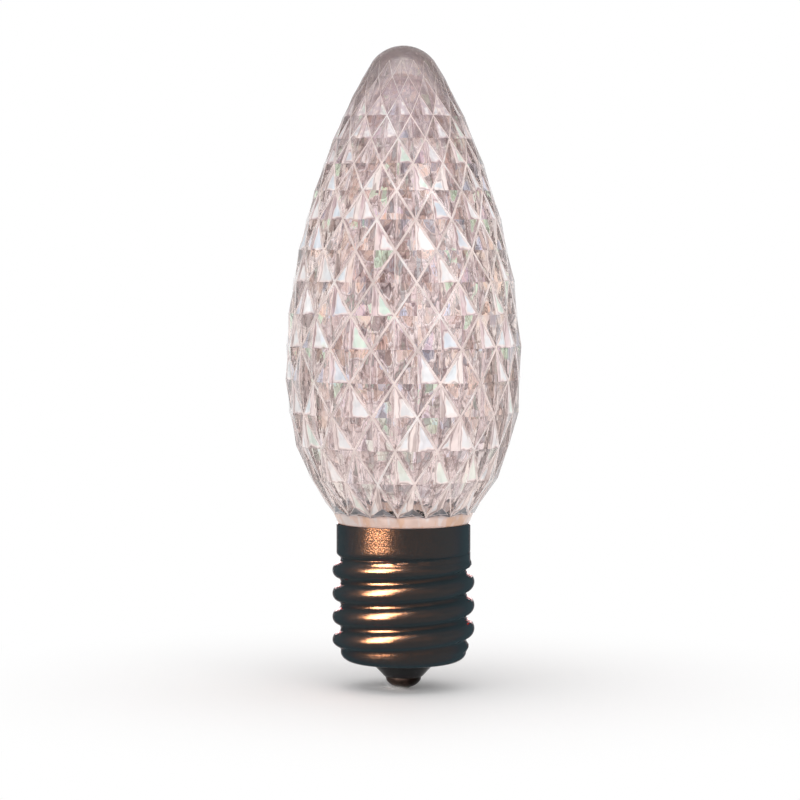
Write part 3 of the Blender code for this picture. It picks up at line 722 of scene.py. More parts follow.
def facet_finish(name, clearness):
    """The outside of the lens: facets with an edge tint, a core, lines between the two and fanned streaks.
    Pale cores are painted highlights, and the lines round them painted shade and highlight.
    """
    made, tree, shader = new_finish(
        name,
        IOR=PLASTIC_IOR,
        Metallic=0.0,
        Transmission_Weight=clearness,
        Sheen_Weight=0.25,
        Sheen_Roughness=0.35,
        Sheen_Tint=(0.88, 0.94, 1.0, 1.0),
    )
    place = place_node(tree, "ShaderNodeSeparateColor", {"Color": read_attribute(tree, "facet_place")})
    limit = place_node(tree, "ShaderNodeSeparateColor", {"Color": read_attribute(tree, "core_limits")})
    tip, side, far = place.outputs
    from_ridge, from_groove, to_corner = limit.outputs
    from_level = read_attribute(tree, "core_limits", "Alpha")
    reach = calc(tree, "SUBTRACT", side, from_ridge)
    for more, less in ((tip, from_groove), (to_corner, far), (far, from_level)):
        reach = calc(tree, "MINIMUM", reach, calc(tree, "SUBTRACT", more, less))
    waver = mottle_mask(tree, 800.0, 0.25, 0.75, detail=1.0)
    depth = calc(tree, "ADD", reach, span(tree, waver, -0.07, 0.07))
    core = ramp(tree, depth, 0.0, 0.03)
    outside = span(tree, core, 1.0, 0.25)

    # Streaks that fan out from the far corner. A facet's own limits set them apart from its neighbours'
    turn = calc(tree, "DIVIDE", side, calc(tree, "ADD", tip, side))
    across = calc(tree, "ADD", calc(tree, "MULTIPLY", turn, 2.6), calc(tree, "MULTIPLY", from_ridge, 170.0))
    apart = calc(tree, "MULTIPLY", to_corner, 90.0)
    along = calc(tree, "MULTIPLY", far, 1.4)
    fan = place_node(tree, "ShaderNodeCombineXYZ", {"X": across, "Y": apart, "Z": along})
    streaks = noise_mask(tree, fan.outputs[0], 1.0, 0.6)
    dark = smooth_mask(tree, streaks, 0.52, 0.62, 0.0, 0.60)
    pale = smooth_mask(tree, streaks, 0.46, 0.38, 0.0, 0.5)

    frost = smooth_mask(tree, object_parts(tree)["Z"], FROST_FOOT, FROST_TOP, 0.0, FROST_ROUGHNESS)
    cloud = mottle_mask(tree, 2000.0, 0.44, 0.56, detail=3.0)
    clouded = calc(tree, "MULTIPLY", calc(tree, "MULTIPLY", cloud, frost), TIP_CLOUD_STRENGTH)
    glow = mottle_mask(tree, 520.0, 0.40, 0.64, detail=0.0)
    heart = mix_colours(tree, glow, read_attribute(tree, "facet_core"), CORE_GLOW, "MULTIPLY")
    tint = mix_colours(tree, core, read_attribute(tree, "facet_edge"), heart)
    # Painted shade beside the grooves and in a rim round each core, and a painted highlight on the core's
    # lip.
    for share, over in (
        (calc(tree, "MULTIPLY", dark, outside), STREAK_DARK),
        (calc(tree, "MULTIPLY", pale, outside), STREAK_PALE),
        (calc(tree, "MULTIPLY", line_mask(tree, tip, 0.05, 0.05), waver), BESIDE_GROOVE),
        (span(tree, line_mask(tree, depth, -0.07, 0.04), 0.0, 0.8), CORE_RIM),
        (span(tree, line_mask(tree, depth, 0.0, 0.035), 0.0, 0.9), CORE_LIP),
        (clouded, TIP_CLOUD),
    ):
        tint = mix_colours(tree, share, tint, over)
    haze = mottle_mask(tree, 420.0, 0.30, 0.70)
    waves = streak_height(tree, 110.0, 1.0, detail=0.0)
    link_finish(
        tree,
        shader,
        mix_colours(tree, haze, tint, PLASTIC_HAZE, "MULTIPLY"),
        calc(tree, "ADD", span(tree, haze, 0.005, 0.012), frost),
        bump(tree, waves, 0.06, 0.0006),
    )
    return made


def groove_finish(settings):
    """The frosted flats along the grooves and upright ridges, uneven in tone. Their pale tint is partly the
    frost and partly a painted highlight, and their bright patches are painted glints.
    """
    made, tree, shader = new_finish(
        "clear_plastic_groove", IOR=PLASTIC_IOR, Metallic=0.0, Transmission_Weight=0.40
    )
    uneven = mottle_mask(tree, 420.0, 0.36, 0.64)
    tint = mix_colours(tree, uneven, darkened(settings.groove_colour, 0.66), settings.groove_colour)
    link_finish(
        tree,
        shader,
        # Bright patches mixed in here are painted glints.
        mix_colours(tree, mottle_mask(tree, 260.0, 0.54, 0.66), tint, GROOVE_GLINT),
        span(tree, uneven, 0.42, 0.25),
        bump(tree, streak_height(tree, 900.0, 1.0), 0.10, 0.0004),
    )
    return made


def flange_finish(settings):
    """The milky flange, with upright streaks of white and orange that show through from the joint."""
    made, tree, shader = new_finish(
        "clear_plastic_flange", IOR=PLASTIC_IOR, Metallic=0.0, Transmission_Weight=0.45
    )
    streaks = streak_height(tree, 620.0, 0.12, detail=2.0)
    height = object_parts(tree)["Z"]
    tint = settings.flange_colour
    for share, over in (
        (smooth_mask(tree, streaks, 0.52, 0.60, 0.0, 0.65), FLANGE_WHITE),
        (smooth_mask(tree, streaks, 0.46, 0.38, 0.0, 0.9), FLANGE_ORANGE),
        (smooth_mask(tree, height, FLANGE_EDGE_FOOT, FLANGE_EDGE_TOP, 0.0, 0.45), FLANGE_EDGE),
    ):
        tint = mix_colours(tree, share, tint, over)
    link_finish(tree, shader, tint, span(tree, streaks, 0.10, 0.26), bump(tree, streaks, 0.25, 0.0003))
    return made


def plated_finish(settings):
    """Dark bronze plating with tarnish, rolling lines and rubbed crests."""
    made, tree, shader = new_finish(
        "bronze_plating",
        Metallic=1.0,
        Specular_Tint=(0.22, 0.14, 0.14, 1.0),
        Sheen_Weight=0.105,
        Sheen_Roughness=0.9,
        Sheen_Tint=(0.54, 0.82, 0.95, 1.0),
    )
    tarnish = mottle_mask(tree, 2600.0, 0.36, 0.74, detail=6.0)
    plating = mix_colours(tree, tarnish, settings.dark, settings.warm)
    rubbed = span(tree, rub_mask(tree, CREST_WEAR, 800.0), 0.0, 0.05)
    grain = mottle_mask(tree, 5200.0, 0.30, 0.70, detail=2.0)
    rough = calc(tree, "ADD", streak_height(tree, 250.0, 22.0), calc(tree, "MULTIPLY", grain, 1.5))
    link_finish(
        tree,
        shader,
        mix_colours(tree, rubbed, plating, settings.worn),
        span(tree, tarnish, 0.19, 0.25),
        bump(tree, rough, 0.08, 0.0001),
    )
    return made


def metal_finish(name, tint, roughness, worn, wear, bumps=0.12):
    """A dull metal with patches and a rubbed edge."""
    made, tree, shader = new_finish(name, Metallic=1.0)
    patches = mottle_mask(tree, 1500.0, 0.30, 0.70)
    patched = mix_colours(tree, patches, darkened(tint, 0.55), tint)
    link_finish(
        tree,
        shader,
        mix_colours(tree, rub_mask(tree, wear, 2500.0), patched, worn),
        span(tree, patches, roughness, roughness + 0.2),
        bump(tree, patches, bumps, 0.00005),
    )
    return made


def coated_finish(name, tint, shade, roughness, grain, bumps=0.10, **constants):
    """A lacquer or moulding with uneven colour, gloss and a fine grain."""
    made, tree, shader = new_finish(name, **constants)
    patches = mottle_mask(tree, grain * 0.3, 0.30, 0.70)
    speckle = mottle_mask(tree, grain, detail=2.0)
    link_finish(
        tree,
        shader,
        mix_colours(tree, patches, darkened(tint, shade), tint),
        span(tree, speckle, roughness, roughness + 0.12),
        bump(tree, speckle, bumps, 0.00004),
    )
    return made


def inner_finish(settings):
    """The inner face, crossed by thin wavering flow lines."""
    made, tree, shader = new_finish(
        "clear_plastic_inside", IOR=PLASTIC_IOR, Metallic=0.0, Transmission_Weight=1.0
    )
    flow = streak_height(tree, 300.0, 0.40, detail=0.0)
    tint = settings.inner_colour
    for centre, width, line in FLOW_LINES:
        tint = mix_colours(tree, line_mask(tree, flow, centre, width), tint, line)
    waves = streak_height(tree, 1300.0, 0.55, detail=1.0)
    link_finish(tree, shader, tint, span(tree, flow, 0.015, 0.045), bump(tree, waves, 0.30, 0.0002))
    return made


# The lens


def bezier(start, start_handle, end_handle, end, steps):
    """Points along one cubic curve, both ends included."""
    points = []
    for step in range(steps + 1):
        along = step / steps
        back = 1 - along
        weights = (back**3, 3 * back**2 * along, 3 * back * along**2, along**3)
        corners = (start, start_handle, end_handle, end)
        points.append(tuple(sum(w * c[axis] for w, c in zip(weights, corners)) for axis in (0, 1)))
    return points


def flame_outline(foot_radius, belly_radius, belly_height, tip_height, nose_radius, steps):
    """A candle-flame outline as (radius, height) points: to the belly, to the nose and over it."""
    flank = math.radians(FLANK_ANGLE)
    lean = math.radians(NOSE_LEAN)
    nose_centre = tip_height - nose_radius
    nose_edge = (nose_radius * math.cos(lean), nose_centre + nose_radius * math.sin(lean))
    below = belly_height - FLANGE_TOP
    above = nose_edge[1] - belly_height
    foot_handle = (
        foot_radius + FLANK_HANDLE * below * math.cos(flank),
        FLANGE_TOP + FLANK_HANDLE * below * math.sin(flank),
    )
    lower_handle = (belly_radius, belly_height - BELLY_HANDLE_BELOW * below)
    upper_handle = (belly_radius, belly_height + BELLY_HANDLE_ABOVE * above)
    nose_handle = (
        nose_edge[0] + NOSE_HANDLE * above * math.sin(lean),
        nose_edge[1] - NOSE_HANDLE * above * math.cos(lean),
    )
    lower = bezier((foot_radius, FLANGE_TOP), foot_handle, lower_handle, (belly_radius, belly_height), steps)
    upper = bezier((belly_radius, belly_height), upper_handle, nose_handle, nose_edge, steps)
    nose = []
    nose_steps = max(4, steps // 4)
    for step in range(1, nose_steps):
        angle = lean + (0.5 * math.pi - lean) * step / nose_steps
        nose.append((nose_radius * math.cos(angle), nose_centre + nose_radius * math.sin(angle)))
    return lower + upper[1:] + nose + [(0.0, tip_height)]


def radius_at(outline, height):
    """The outline's radius at a height, between its points."""
    for (lower_radius, lower), (upper_radius, upper) in zip(outline, outline[1:]):
        if lower <= height <= upper and upper > lower:
            share = (height - lower) / (upper - lower)
            return lower_radius + share * (upper_radius - lower_radius)
    return 0.0


def facet_row_heights(outline, belly_height):
    """Heights of the rows: even up to the belly, and closer as the lens narrows above it."""
    heights = [FLANGE_TOP]
    while True:
        last = heights[-1]
        step = BELLY_ROW_STEP
        if last > belly_height:
            step = TIP_ROW_STEP + ROW_STEP_PER_RADIUS * radius_at(outline, last)
        if radius_at(outline, last + step) < CAP_RADIUS:
            return heights
        heights.append(last + step)


def facet_rows(bm, outline, settings):
    """The lattice's vertices, row by row. A row has grooves and pyramid tips by turns."""
    heights = facet_row_heights(outline, settings.belly_height)
    rows = []
    for row, height in enumerate(heights):
        radius = radius_at(outline, height)
        relief = settings.relief * 2 * math.pi * radius / settings.columns
        if row in (0, len(heights) - 1):
            relief = 0.0
        ring = add_ring(bm, radius, height, 2 * settings.columns, COLUMN_TURN)
        for step, vertex in enumerate(ring):
            if (step + row) % 2 == 0:
                vertex.co.xy *= (radius - relief) / radius
        rows.append(ring)
    return rows


def add_pyramids(bm, rows):
    """Four facets round each pyramid tip. A facet's corners are the tip, the side and the far corner."""
    made = []
    for row, ring in enumerate(rows):
        count = len(ring)
        for step in range((row + 1) % 2, count, 2):
            tip, left, right = ring[step], ring[step - 1], ring[(step + 1) % count]
            if row + 1 < len(rows):
                above = rows[row + 1][step]
                made.append(("upper_right", bm.faces.new((tip, right, above))))
                made.append(("upper_left", bm.faces.new((tip, left, above))))
            if row > 0:
                below = rows[row - 1][step]
                made.append(("lower", bm.faces.new((tip, left, below))))
                made.append(("lower", bm.faces.new((tip, right, below))))
    return made


def add_closing_facets(bm, rows, outline, flange_ring):
    """Ends the lowest, halved pyramids in small steep facets that stand on the flange."""
    made = []
    count = len(rows[0])
    lifted = FLANGE_TOP + CLOSING_FACET_HEIGHT
    for step in range(1, count, 2):
        tip = rows[0][step]
        tip.co.xy *= radius_at(outline, lifted) / radius_at(outline, FLANGE_TOP)
        tip.co.z = lifted
        left, foot, right = (flange_ring[(step + side) % count] for side in (-1, 0, 1))
        made.append(("closing", bm.faces.new((tip, left, foot))))
        made.append(("closing", bm.faces.new((tip, right, foot))))
    return made


def mark_grooves(bm, facets, rows):
    """Bevel weights: most along the grooves, less on the ridges above the tips, and fading to the cap."""
    weights = bm.edges.layers.float.new("bevel_weight_edge")
    grooves = {vertex for row, ring in enumerate(rows) for vertex in ring[row % 2 :: 2]}
    for edge in {edge for _, face in facets for edge in face.edges}:
        fade = smooth_step(edge.verts[0].co.z, GROOVE_FADE_FOOT, GROOVE_FADE_TOP)
        share = 1 - GROOVE_FADE_SHARE * fade
        tips = [vertex for vertex in edge.verts if vertex not in grooves]
        if not tips:
            edge[weights] = share
        elif len(tips) == 1 and edge.other_vert(tips[0]).co.z - tips[0].co.z > RIDGE_LEAST_RISE:
            edge[weights] = RIDGE_SHARE * share
        else:
            edge[weights] = 0.0


def tint_facets(bm, facets):
    """Gives each facet its tints, its corners' places and its core's limits, and picks those that get the
    less clear finish of painted light.
    """
    edge_layer, core_layer, place_layer, limit_layer = (
        bm.loops.layers.float_color.new(name)
        for name in ("facet_edge", "facet_core", "facet_place", "core_limits")
    )
    for face in bm.faces:
        for loop in face.loops:
            loop[edge_layer] = (*CAP_TINT, 1.0)
            loop[core_layer] = (*CAP_TINT, 1.0)
            loop[place_layer] = (0.0, 0.0, 0.0, 1.0)
            loop[limit_layer] = (1.0, 1.0, 0.0, 0.0)
    picker = random.Random(TINT_SEED)
    for kind, face in facets:
        height = face.calc_center_median().z
        warmth = WARM_EDGE_SHARE * min(1.0, max(0.0, (WARM_TOP - height) / WARM_REACH))
        if kind == "closing":
            warmth = 0.0
        fade = CAP_EDGE_SHARE * smooth_step(height, CAP_FADE_FOOT, CAP_FADE_TOP)
        edge = Vector(picker.choice(EDGE_TINTS[kind])).lerp(FLANGE_WARMTH, warmth).lerp(CAP_TINT, fade)
        core = Vector(picker.choice(CORE_TINTS[kind]))
        # Pale cores away from the cap, and the closing facets, get the less clear finish: painted highlights,
        # and on the closing facets painted shade.
        milky = kind == "closing" or (min(core) > PAINTED_LIGHT_CORE and fade < PAINTED_LIGHT_FADE)
        core = core.lerp(FLANGE_WARMTH, warmth * WARM_CORE_SHARE).lerp(CAP_TINT, fade * CAP_CORE_SHARE)
        limits = [picker.uniform(*limit) for limit in CORE_LIMITS[kind]]
        if milky:
            face.material_index = PAINTED_LIGHT_FINISH
        else:
            core = Vector(channel ** (CORE_POWER - CORE_POWER_LOSS * warmth) for channel in core)
        for corner, loop in enumerate(face.loops):
            loop[edge_layer] = (*edge, 1.0)
            loop[core_layer] = (*core, 1.0)
            loop[place_layer] = (*(1.0 if corner == place else 0.0 for place in range(3)), 1.0)
            loop[limit_layer] = (*limits, PAINTED_LIGHT_LEVEL if milky else CLEAR_LEVEL)


def ripple_cavity(vertices, height):
    """Flow ripples on the inner face, drawn out along the axis and dying away at the nose."""
    for vertex in vertices:
        reach = vertex.co.xy.length
        share = smooth_step(reach, RIPPLE_START, RIPPLE_FULL)
        if share > 0.0:
            x, y, z = vertex.co
            place = Vector((x * RIPPLES_ROUND, y * RIPPLES_ROUND, z * RIPPLES_ALONG))
            vertex.co.xy *= (reach + share * height * noise.noise(place)) / reach


def add_smooth_ring(bm, radius, height, settings):
    """A ring of the lens's smooth faces, finer than a row of facets."""
    return add_ring(bm, radius, height, 2 * settings.columns * SMOOTH_SPLIT, COLUMN_TURN)


def add_cap(bm, last, outline, settings):
    """The smooth tip above the last row of facets."""
    cap_foot = last[0].co.z
    for step in range(1, CAP_RINGS + 1):
        share = math.sin(0.5 * math.pi * step / (CAP_RINGS + 1))
        height = cap_foot + share * (OVERALL_LENGTH - cap_foot)
        ring = add_smooth_ring(bm, radius_at(outline, height), height, settings)
        join_rings(bm, last, ring)
        last = ring
    join_to_point(bm, last, bm.verts.new((0.0, 0.0, OVERALL_LENGTH)))


def add_neck(bm, last, settings):
    """The flange and the spigot, and the board's seat inside. Its last ring is where the hollow starts."""
    for radius, height in (
        (FLANGE_TOP_RADIUS - FLANGE_LIP_IN, FLANGE_TOP - FLANGE_LIP_DOWN),
        (FLANGE_FOOT_RADIUS + FLANGE_FOOT_OUT, FLANGE_FOOT + FLANGE_FOOT_UP),
        (FLANGE_FOOT_RADIUS, FLANGE_FOOT),
        (SPIGOT_RADIUS, FLANGE_FOOT),
        (SPIGOT_RADIUS, SPIGOT_FOOT),
        (BOARD_BORE, SPIGOT_FOOT),
        (BOARD_BORE, SEAT_HEIGHT),
        (THROAT_RADIUS, SEAT_HEIGHT),
    ):
        ring = add_smooth_ring(bm, radius, height, settings)
        for face in join_rings(bm, last, ring):
            face.material_index = FLANGE_FINISH if height >= FLANGE_FOOT else FACET_FINISH
        last = ring
    return last


def add_cavity(bm, last, settings):
    """The rippled hollow, from the board's seat to its nose."""
    cavity = flame_outline(
        THROAT_RADIUS,
        settings.diameter / 2 - settings.wall,
        settings.belly_height,
        OVERALL_LENGTH - TIP_WALL,
        CAVITY_NOSE_RADIUS,
        CAVITY_STEPS,
    )
    inside = []
    faces = []
    for radius, height in cavity[:-1]:
        ring = add_smooth_ring(bm, radius, height, settings)
        faces += join_rings(bm, last, ring)
        inside += ring
        last = ring
    faces += join_to_point(bm, last, bm.verts.new((0.0, 0.0, cavity[-1][1])))
    ripple_cavity(inside[len(last) :], settings.ripple)
    for face in faces:
        face.material_index = INNER_FINISH


def build_lens(settings):
    """The lens's bmesh: facets and flange outside, smooth cap, and one rippled hollow inside."""
    bm = bmesh.new()
    radius = settings.diameter / 2
    outline = flame_outline(
        FLANGE_TOP_RADIUS, radius, settings.belly_height, OVERALL_LENGTH, NOSE_RADIUS, OUTLINE_STEPS
    )
    rows = facet_rows(bm, outline, settings)
    facets = add_pyramids(bm, rows)
    flange_ring = add_ring(bm, FLANGE_TOP_RADIUS, FLANGE_TOP, 2 * settings.columns, COLUMN_TURN)
    facets += add_closing_facets(bm, rows, outline, flange_ring)
    add_cap(bm, rows[-1], outline, settings)
    add_cavity(bm, add_neck(bm, flange_ring, settings), settings)
    tint_facets(bm, facets)
    mark_grooves(bm, facets, rows)
    bmesh.ops.remove_doubles(bm, verts=bm.verts, dist=MERGE_DISTANCE)
    bmesh.ops.recalc_face_normals(bm, faces=bm.faces)
    return bm


class BULB_OT_lens(bpy.types.Operator):
    """Makes the clear faceted lens."""

    bl_idname = "bulb.lens"
    bl_label = "Lens"

    def execute(self, context):
        """Builds the lens and rounds its grooves."""
        settings = context.scene.bulb_lens
        finishes = (
            facet_finish("clear_plastic", 1.0),
            groove_finish(settings),
            inner_finish(settings),
            flange_finish(settings),
            # The less clear facet finish carries painted light: highlights in pale cores, shade on the
            # closing facets.
            facet_finish("painted_light_plastic", 0.35),
        )
        bm = build_lens(settings)
        lens = add_piece("faceted_lens", bm, finishes, ("lens",), crease=12.0)
        grooves = lens.modifiers.new("grooves", "BEVEL")
        grooves.width = settings.groove_width / 2
        grooves.segments = 1
        grooves.limit_method = "WEIGHT"
        grooves.material = GROOVE_FINISH
        apply_modifiers(lens)
        return {"FINISHED"}


# The screw shell


def thread_wave(phase, settings):
    """A rolled thread's section over one pitch, from -1 in the root to 1 at the crest."""
    half = settings.pitch / 2
    depth = settings.thread_depth
    arc_radius = ((half / 2) ** 2 + (depth / 2) ** 2) / depth
    from_crest = abs((phase + 0.5) % 1.0 - 0.5) * settings.pitch
    on_crest = from_crest < half / 2
    along = from_crest if on_crest else half - from_crest
    drop = arc_radius - math.sqrt(arc_radius**2 - along**2)
    height = 1 - 2 * drop / depth
    return height if on_crest else -height


def shell_radius(angle, height, settings):
    """The shell's outer radius, where the thread rises to the right and fades out at both ends."""
    turns = angle / (2 * math.pi) - 0.5
    wave = thread_wave((height - THREAD_CREST_HEIGHT) / settings.pitch - turns, settings)
    top = THREAD_RIDGE_TOP if wave > 0 else THREAD_GROOVE_TOP
    fade_top = smooth_step(height, top + THREAD_FADE / 2, top - THREAD_FADE / 2)
    fade_foot = smooth_step(height, SHOULDER_HEIGHT, SHOULDER_HEIGHT + THREAD_FOOT_FADE)
    sink = (1 - fade_foot) * settings.thread_depth / 2
    middle = settings.thread_diameter / 2 - settings.thread_depth / 2
    return middle + fade_top * fade_foot * wave * settings.thread_depth / 2 - sink


def shell_rows(settings):
    """(height, curl) for each row of the shell, where curl is the share of the turned-in foot."""
    rows = []
    skirt_foot = THREAD_GROOVE_TOP + THREAD_FADE / 2
    for step in range(SKIRT_ROWS):
        rows.append((RIM_HEIGHT - (RIM_HEIGHT - skirt_foot) * step / SKIRT_ROWS, 0.0))
    height = skirt_foot
    row_step = settings.pitch / SHELL_ROWS_PER_PITCH
    while height > SHOULDER_HEIGHT + row_step / 2:
        rows.append((height, 0.0))
        height -= row_step
    for step in range(CURL_STEPS + 1):
        quarter = 0.5 * math.pi * step / CURL_STEPS
        rows.append((SHOULDER_HEIGHT - CURL_DROP * math.sin(quarter), 1 - math.cos(quarter)))
    return rows


def build_shell(settings):
    """The shell's outer skin, from the rim to the turned-in foot."""
    bm = bmesh.new()
    last = None
    for height, curl in shell_rows(settings):
        ring = add_ring(bm, 1.0, height, SHELL_SEGMENTS)
        for vertex in ring:
            angle = math.atan2(vertex.co.y, vertex.co.x)
            radius = shell_radius(angle, max(height, SHOULDER_HEIGHT), settings)
            vertex.co.xy *= radius + curl * (MOUTH_RADIUS - radius)
        if last:
            join_rings(bm, last, ring)
        last = ring
    for face in bm.faces:
        centre = face.calc_center_median()
        if face.normal.xy.dot(centre.xy) < 0:
            face.normal_flip()
    bm.normal_update()
    return bm


class BULB_OT_screw_shell(bpy.types.Operator):
    """Makes the dark rolled screw shell."""

    bl_idname = "bulb.screw_shell"
    bl_label = "Screw shell"

    def execute(self, context):
        """Builds the shell's skin and gives it its wall."""
        settings = context.scene.bulb_shell
        finish = plated_finish(settings)
        shell = add_piece("rolled_shell", build_shell(settings), (finish,), ("screw_shell",))
        wall = shell.modifiers.new("wall", "SOLIDIFY")
        wall.thickness = settings.wall
        wall.offset = -1.0
        wall.use_even_offset = True
        rim = shell.modifiers.new("rim", "BEVEL")
        rim.width = settings.wall * RIM_BEVEL_SHARE
        rim.segments = 2
        rim.limit_method = "ANGLE"
        rim.harden_normals = True
        rim.angle_limit = math.radians(RIM_BEVEL_ANGLE)
        apply_modifiers(shell)
        return {"FINISHED"}


# The foot of the base


def contact_dome(radius):
    """Height of the contact's domed underside at a radius."""
    return CONTACT_HEIGHT * (1 - math.sqrt(max(0.0, 1 - (radius / CONTACT_RADIUS) ** 2)))


class BULB_OT_foot(bpy.types.Operator):
    """Makes the glass insulator, the contact eyelet and its solder."""

    bl_idname = "bulb.foot"
    bl_label = "Insulator and contact"

    def execute(self, context):
        """Builds the three turned pieces."""
        settings = context.scene.bulb_foot
        self.add_insulator(settings)
        self.add_contact(settings)
        self.add_solder(settings)
        return {"FINISHED"}

    def add_insulator(self, settings):
        """The black glass cone that the shell's foot is turned in over."""
        seat = SHOULDER_HEIGHT + ASSEMBLY_GAP
        mouth = MOUTH_RADIUS - ASSEMBLY_GAP
        rim = MOUTH_RADIUS + INSULATOR_RIM_REACH
        rim_foot = SHOULDER_HEIGHT - CURL_DROP + INSULATOR_RIM_LIFT + ASSEMBLY_GAP
        top = seat + INSULATOR_RIM_DEPTH
        profile = [
            (INSULATOR_BORE, CONTACT_HEIGHT + ASSEMBLY_GAP),
            (INSULATOR_NOSE_RADIUS, CONTACT_HEIGHT + ASSEMBLY_GAP),
            (INSULATOR_STEP_RADIUS, INSULATOR_STEP_HEIGHT),
            (mouth, SHOULDER_HEIGHT - CURL_DROP),
            (mouth, rim_foot),
            (rim - INSULATOR_RIM_SLOPE, rim_foot),
            (rim, seat),
            (rim, top),
            (INSULATOR_BORE, top),
        ]
        bm = turned_bmesh(rounded(profile, INSULATOR_ROUNDING), TURNED_SEGMENTS)
        finish = coated_finish("black_glass", settings.glass, 0.5, 0.14, 1400.0, Specular_IOR_Level=0.25)
        add_piece("insulator_cone", bm, (finish,), ("base_insulator",), crease=40.0)

    def add_contact(self, settings):
        """The domed eyelet, with a rolled outer edge."""
        profile = [(CONTACT_HOLE_RADIUS, CONTACT_HEIGHT)]
        start = math.asin(CONTACT_HOLE_RADIUS / CONTACT_RADIUS)
        for step in range(CONTACT_STEPS + 1):
            angle = start + (0.5 * math.pi - start) * step / CONTACT_STEPS
            radius = CONTACT_RADIUS * math.sin(angle)
            profile.append((radius, contact_dome(radius)))
        bm = turned_bmesh(profile, TURNED_SEGMENTS)
        worn = (0.07, 0.043, 0.03)
        finish = metal_finish("contact_metal", settings.contact, 0.28, worn, CONTACT_WEAR)
        add_piece("contact_eyelet", bm, (finish,), ("centre_contact",), crease=40.0)

    def add_solder(self, settings):
        """The solder in the eyelet, a little uneven round its flat tip."""
        outside = CONTACT_HOLE_RADIUS - ASSEMBLY_GAP
        lead_hole = LEAD_RADIUS + ASSEMBLY_GAP
        profile = [
            (0.0, 0.0),
            (CONTACT_TIP_RADIUS * 0.5, 0.0),
            (CONTACT_TIP_RADIUS, SOLDER_TIP_EASE),
            (CONTACT_TIP_RADIUS * 1.1, SOLDER_SHOULDER),
            (outside, contact_dome(outside)),
            (outside, CONTACT_HEIGHT),
            (lead_hole, CONTACT_HEIGHT),
            (lead_hole, CONTACT_HEIGHT / 2),
            (0.0, CONTACT_HEIGHT / 2),
        ]
        bm = turned_bmesh(profile, SOLDER_SEGMENTS)
        for vertex in bm.verts:
            if 1e-6 < vertex.co.z < SOLDER_LUMP_TOP:
                vertex.co.z += SOLDER_LUMP * (0.5 + 0.5 * noise.noise(vertex.co * SOLDER_LUMPS))
        worn = (0.42, 0.41, 0.40)
        finish = metal_finish("solder", settings.solder, 0.32, worn, SOLDER_WEAR, bumps=0.25)
        add_piece("tip_solder", bm, (finish,), ("contact_solder",), crease=40.0)


# The board and what it carries


def board_finish(settings):
    """White lacquer in soft patches over fine weave, with a bare copper ring at the edge."""
    made, tree, shader = new_finish("board_lacquer", Metallic=0.0, Coat_Weight=0.3, Coat_Roughness=0.15)
    weave = mottle_mask(tree, 5200.0, 0.30, 0.70, detail=1.0)
    patches = mottle_mask(tree, 700.0, 0.30, 0.70)
    lacquer = mix_colours(tree, patches, darkened(settings.board, 0.9), settings.board)
    link_finish(
        tree,
        shader,
        mix_colours(tree, rub_mask(tree, BOARD_RING, 300.0), lacquer, settings.copper),
        span(tree, weave, 0.38, 0.50),
        bump(tree, weave, 0.10, 0.00003),
    )
    return made


def diode_places():
    """(x, y, turn) of each diode: one in the middle and a ring round it."""
    places = [(0.0, 0.0, 90.0)]
    for step in range(LED_RING_COUNT):
        turn = 360.0 * step / LED_RING_COUNT
        angle = math.radians(turn)
        places.append((LED_RING_RADIUS * math.cos(angle), LED_RING_RADIUS * math.sin(angle), turn + 90.0))
    return places


def place_bmesh(bm, place):
    """Turns a small piece about Z and sets it on the board."""
    across, along, turn = place
    angle = math.radians(turn)
    for vertex in bm.verts:
        x = vertex.co.x * math.cos(angle) - vertex.co.y * math.sin(angle) + across
        y = vertex.co.x * math.sin(angle) + vertex.co.y * math.cos(angle) + along
        vertex.co = (x, y, vertex.co.z + BOARD_TOP + ASSEMBLY_GAP)


def diode_package():
    """The diode's white frame: softened edges, and a cup that narrows towards its floor."""
    bm = bmesh.new()
    made = bmesh.ops.create_cube(bm, size=1.0)["verts"]
    for vertex in made:
        vertex.co.x *= LED_LENGTH
        vertex.co.y *= LED_WIDTH
        vertex.co.z = vertex.co.z * LED_HEIGHT + LED_HEIGHT / 2
    top = max(bm.faces, key=lambda face: face.calc_center_median().z)
    bmesh.ops.inset_region(bm, faces=[top], thickness=LED_FRAME)
    floor = bmesh.ops.extrude_face_region(bm, geom=[top])
    bm.faces.remove(top)
    for vertex in (item for item in floor["geom"] if isinstance(item, bmesh.types.BMVert)):
        vertex.co.x -= math.copysign(LED_CUP_TAPER, vertex.co.x)
        vertex.co.y -= math.copysign(LED_CUP_TAPER, vertex.co.y)
        vertex.co.z -= LED_CUP_DEPTH
    bmesh.ops.recalc_face_normals(bm, faces=bm.faces)
    bmesh.ops.bevel(bm, geom=bm.edges[:], offset=LED_ROUNDING, segments=2, affect="EDGES")
    return bm


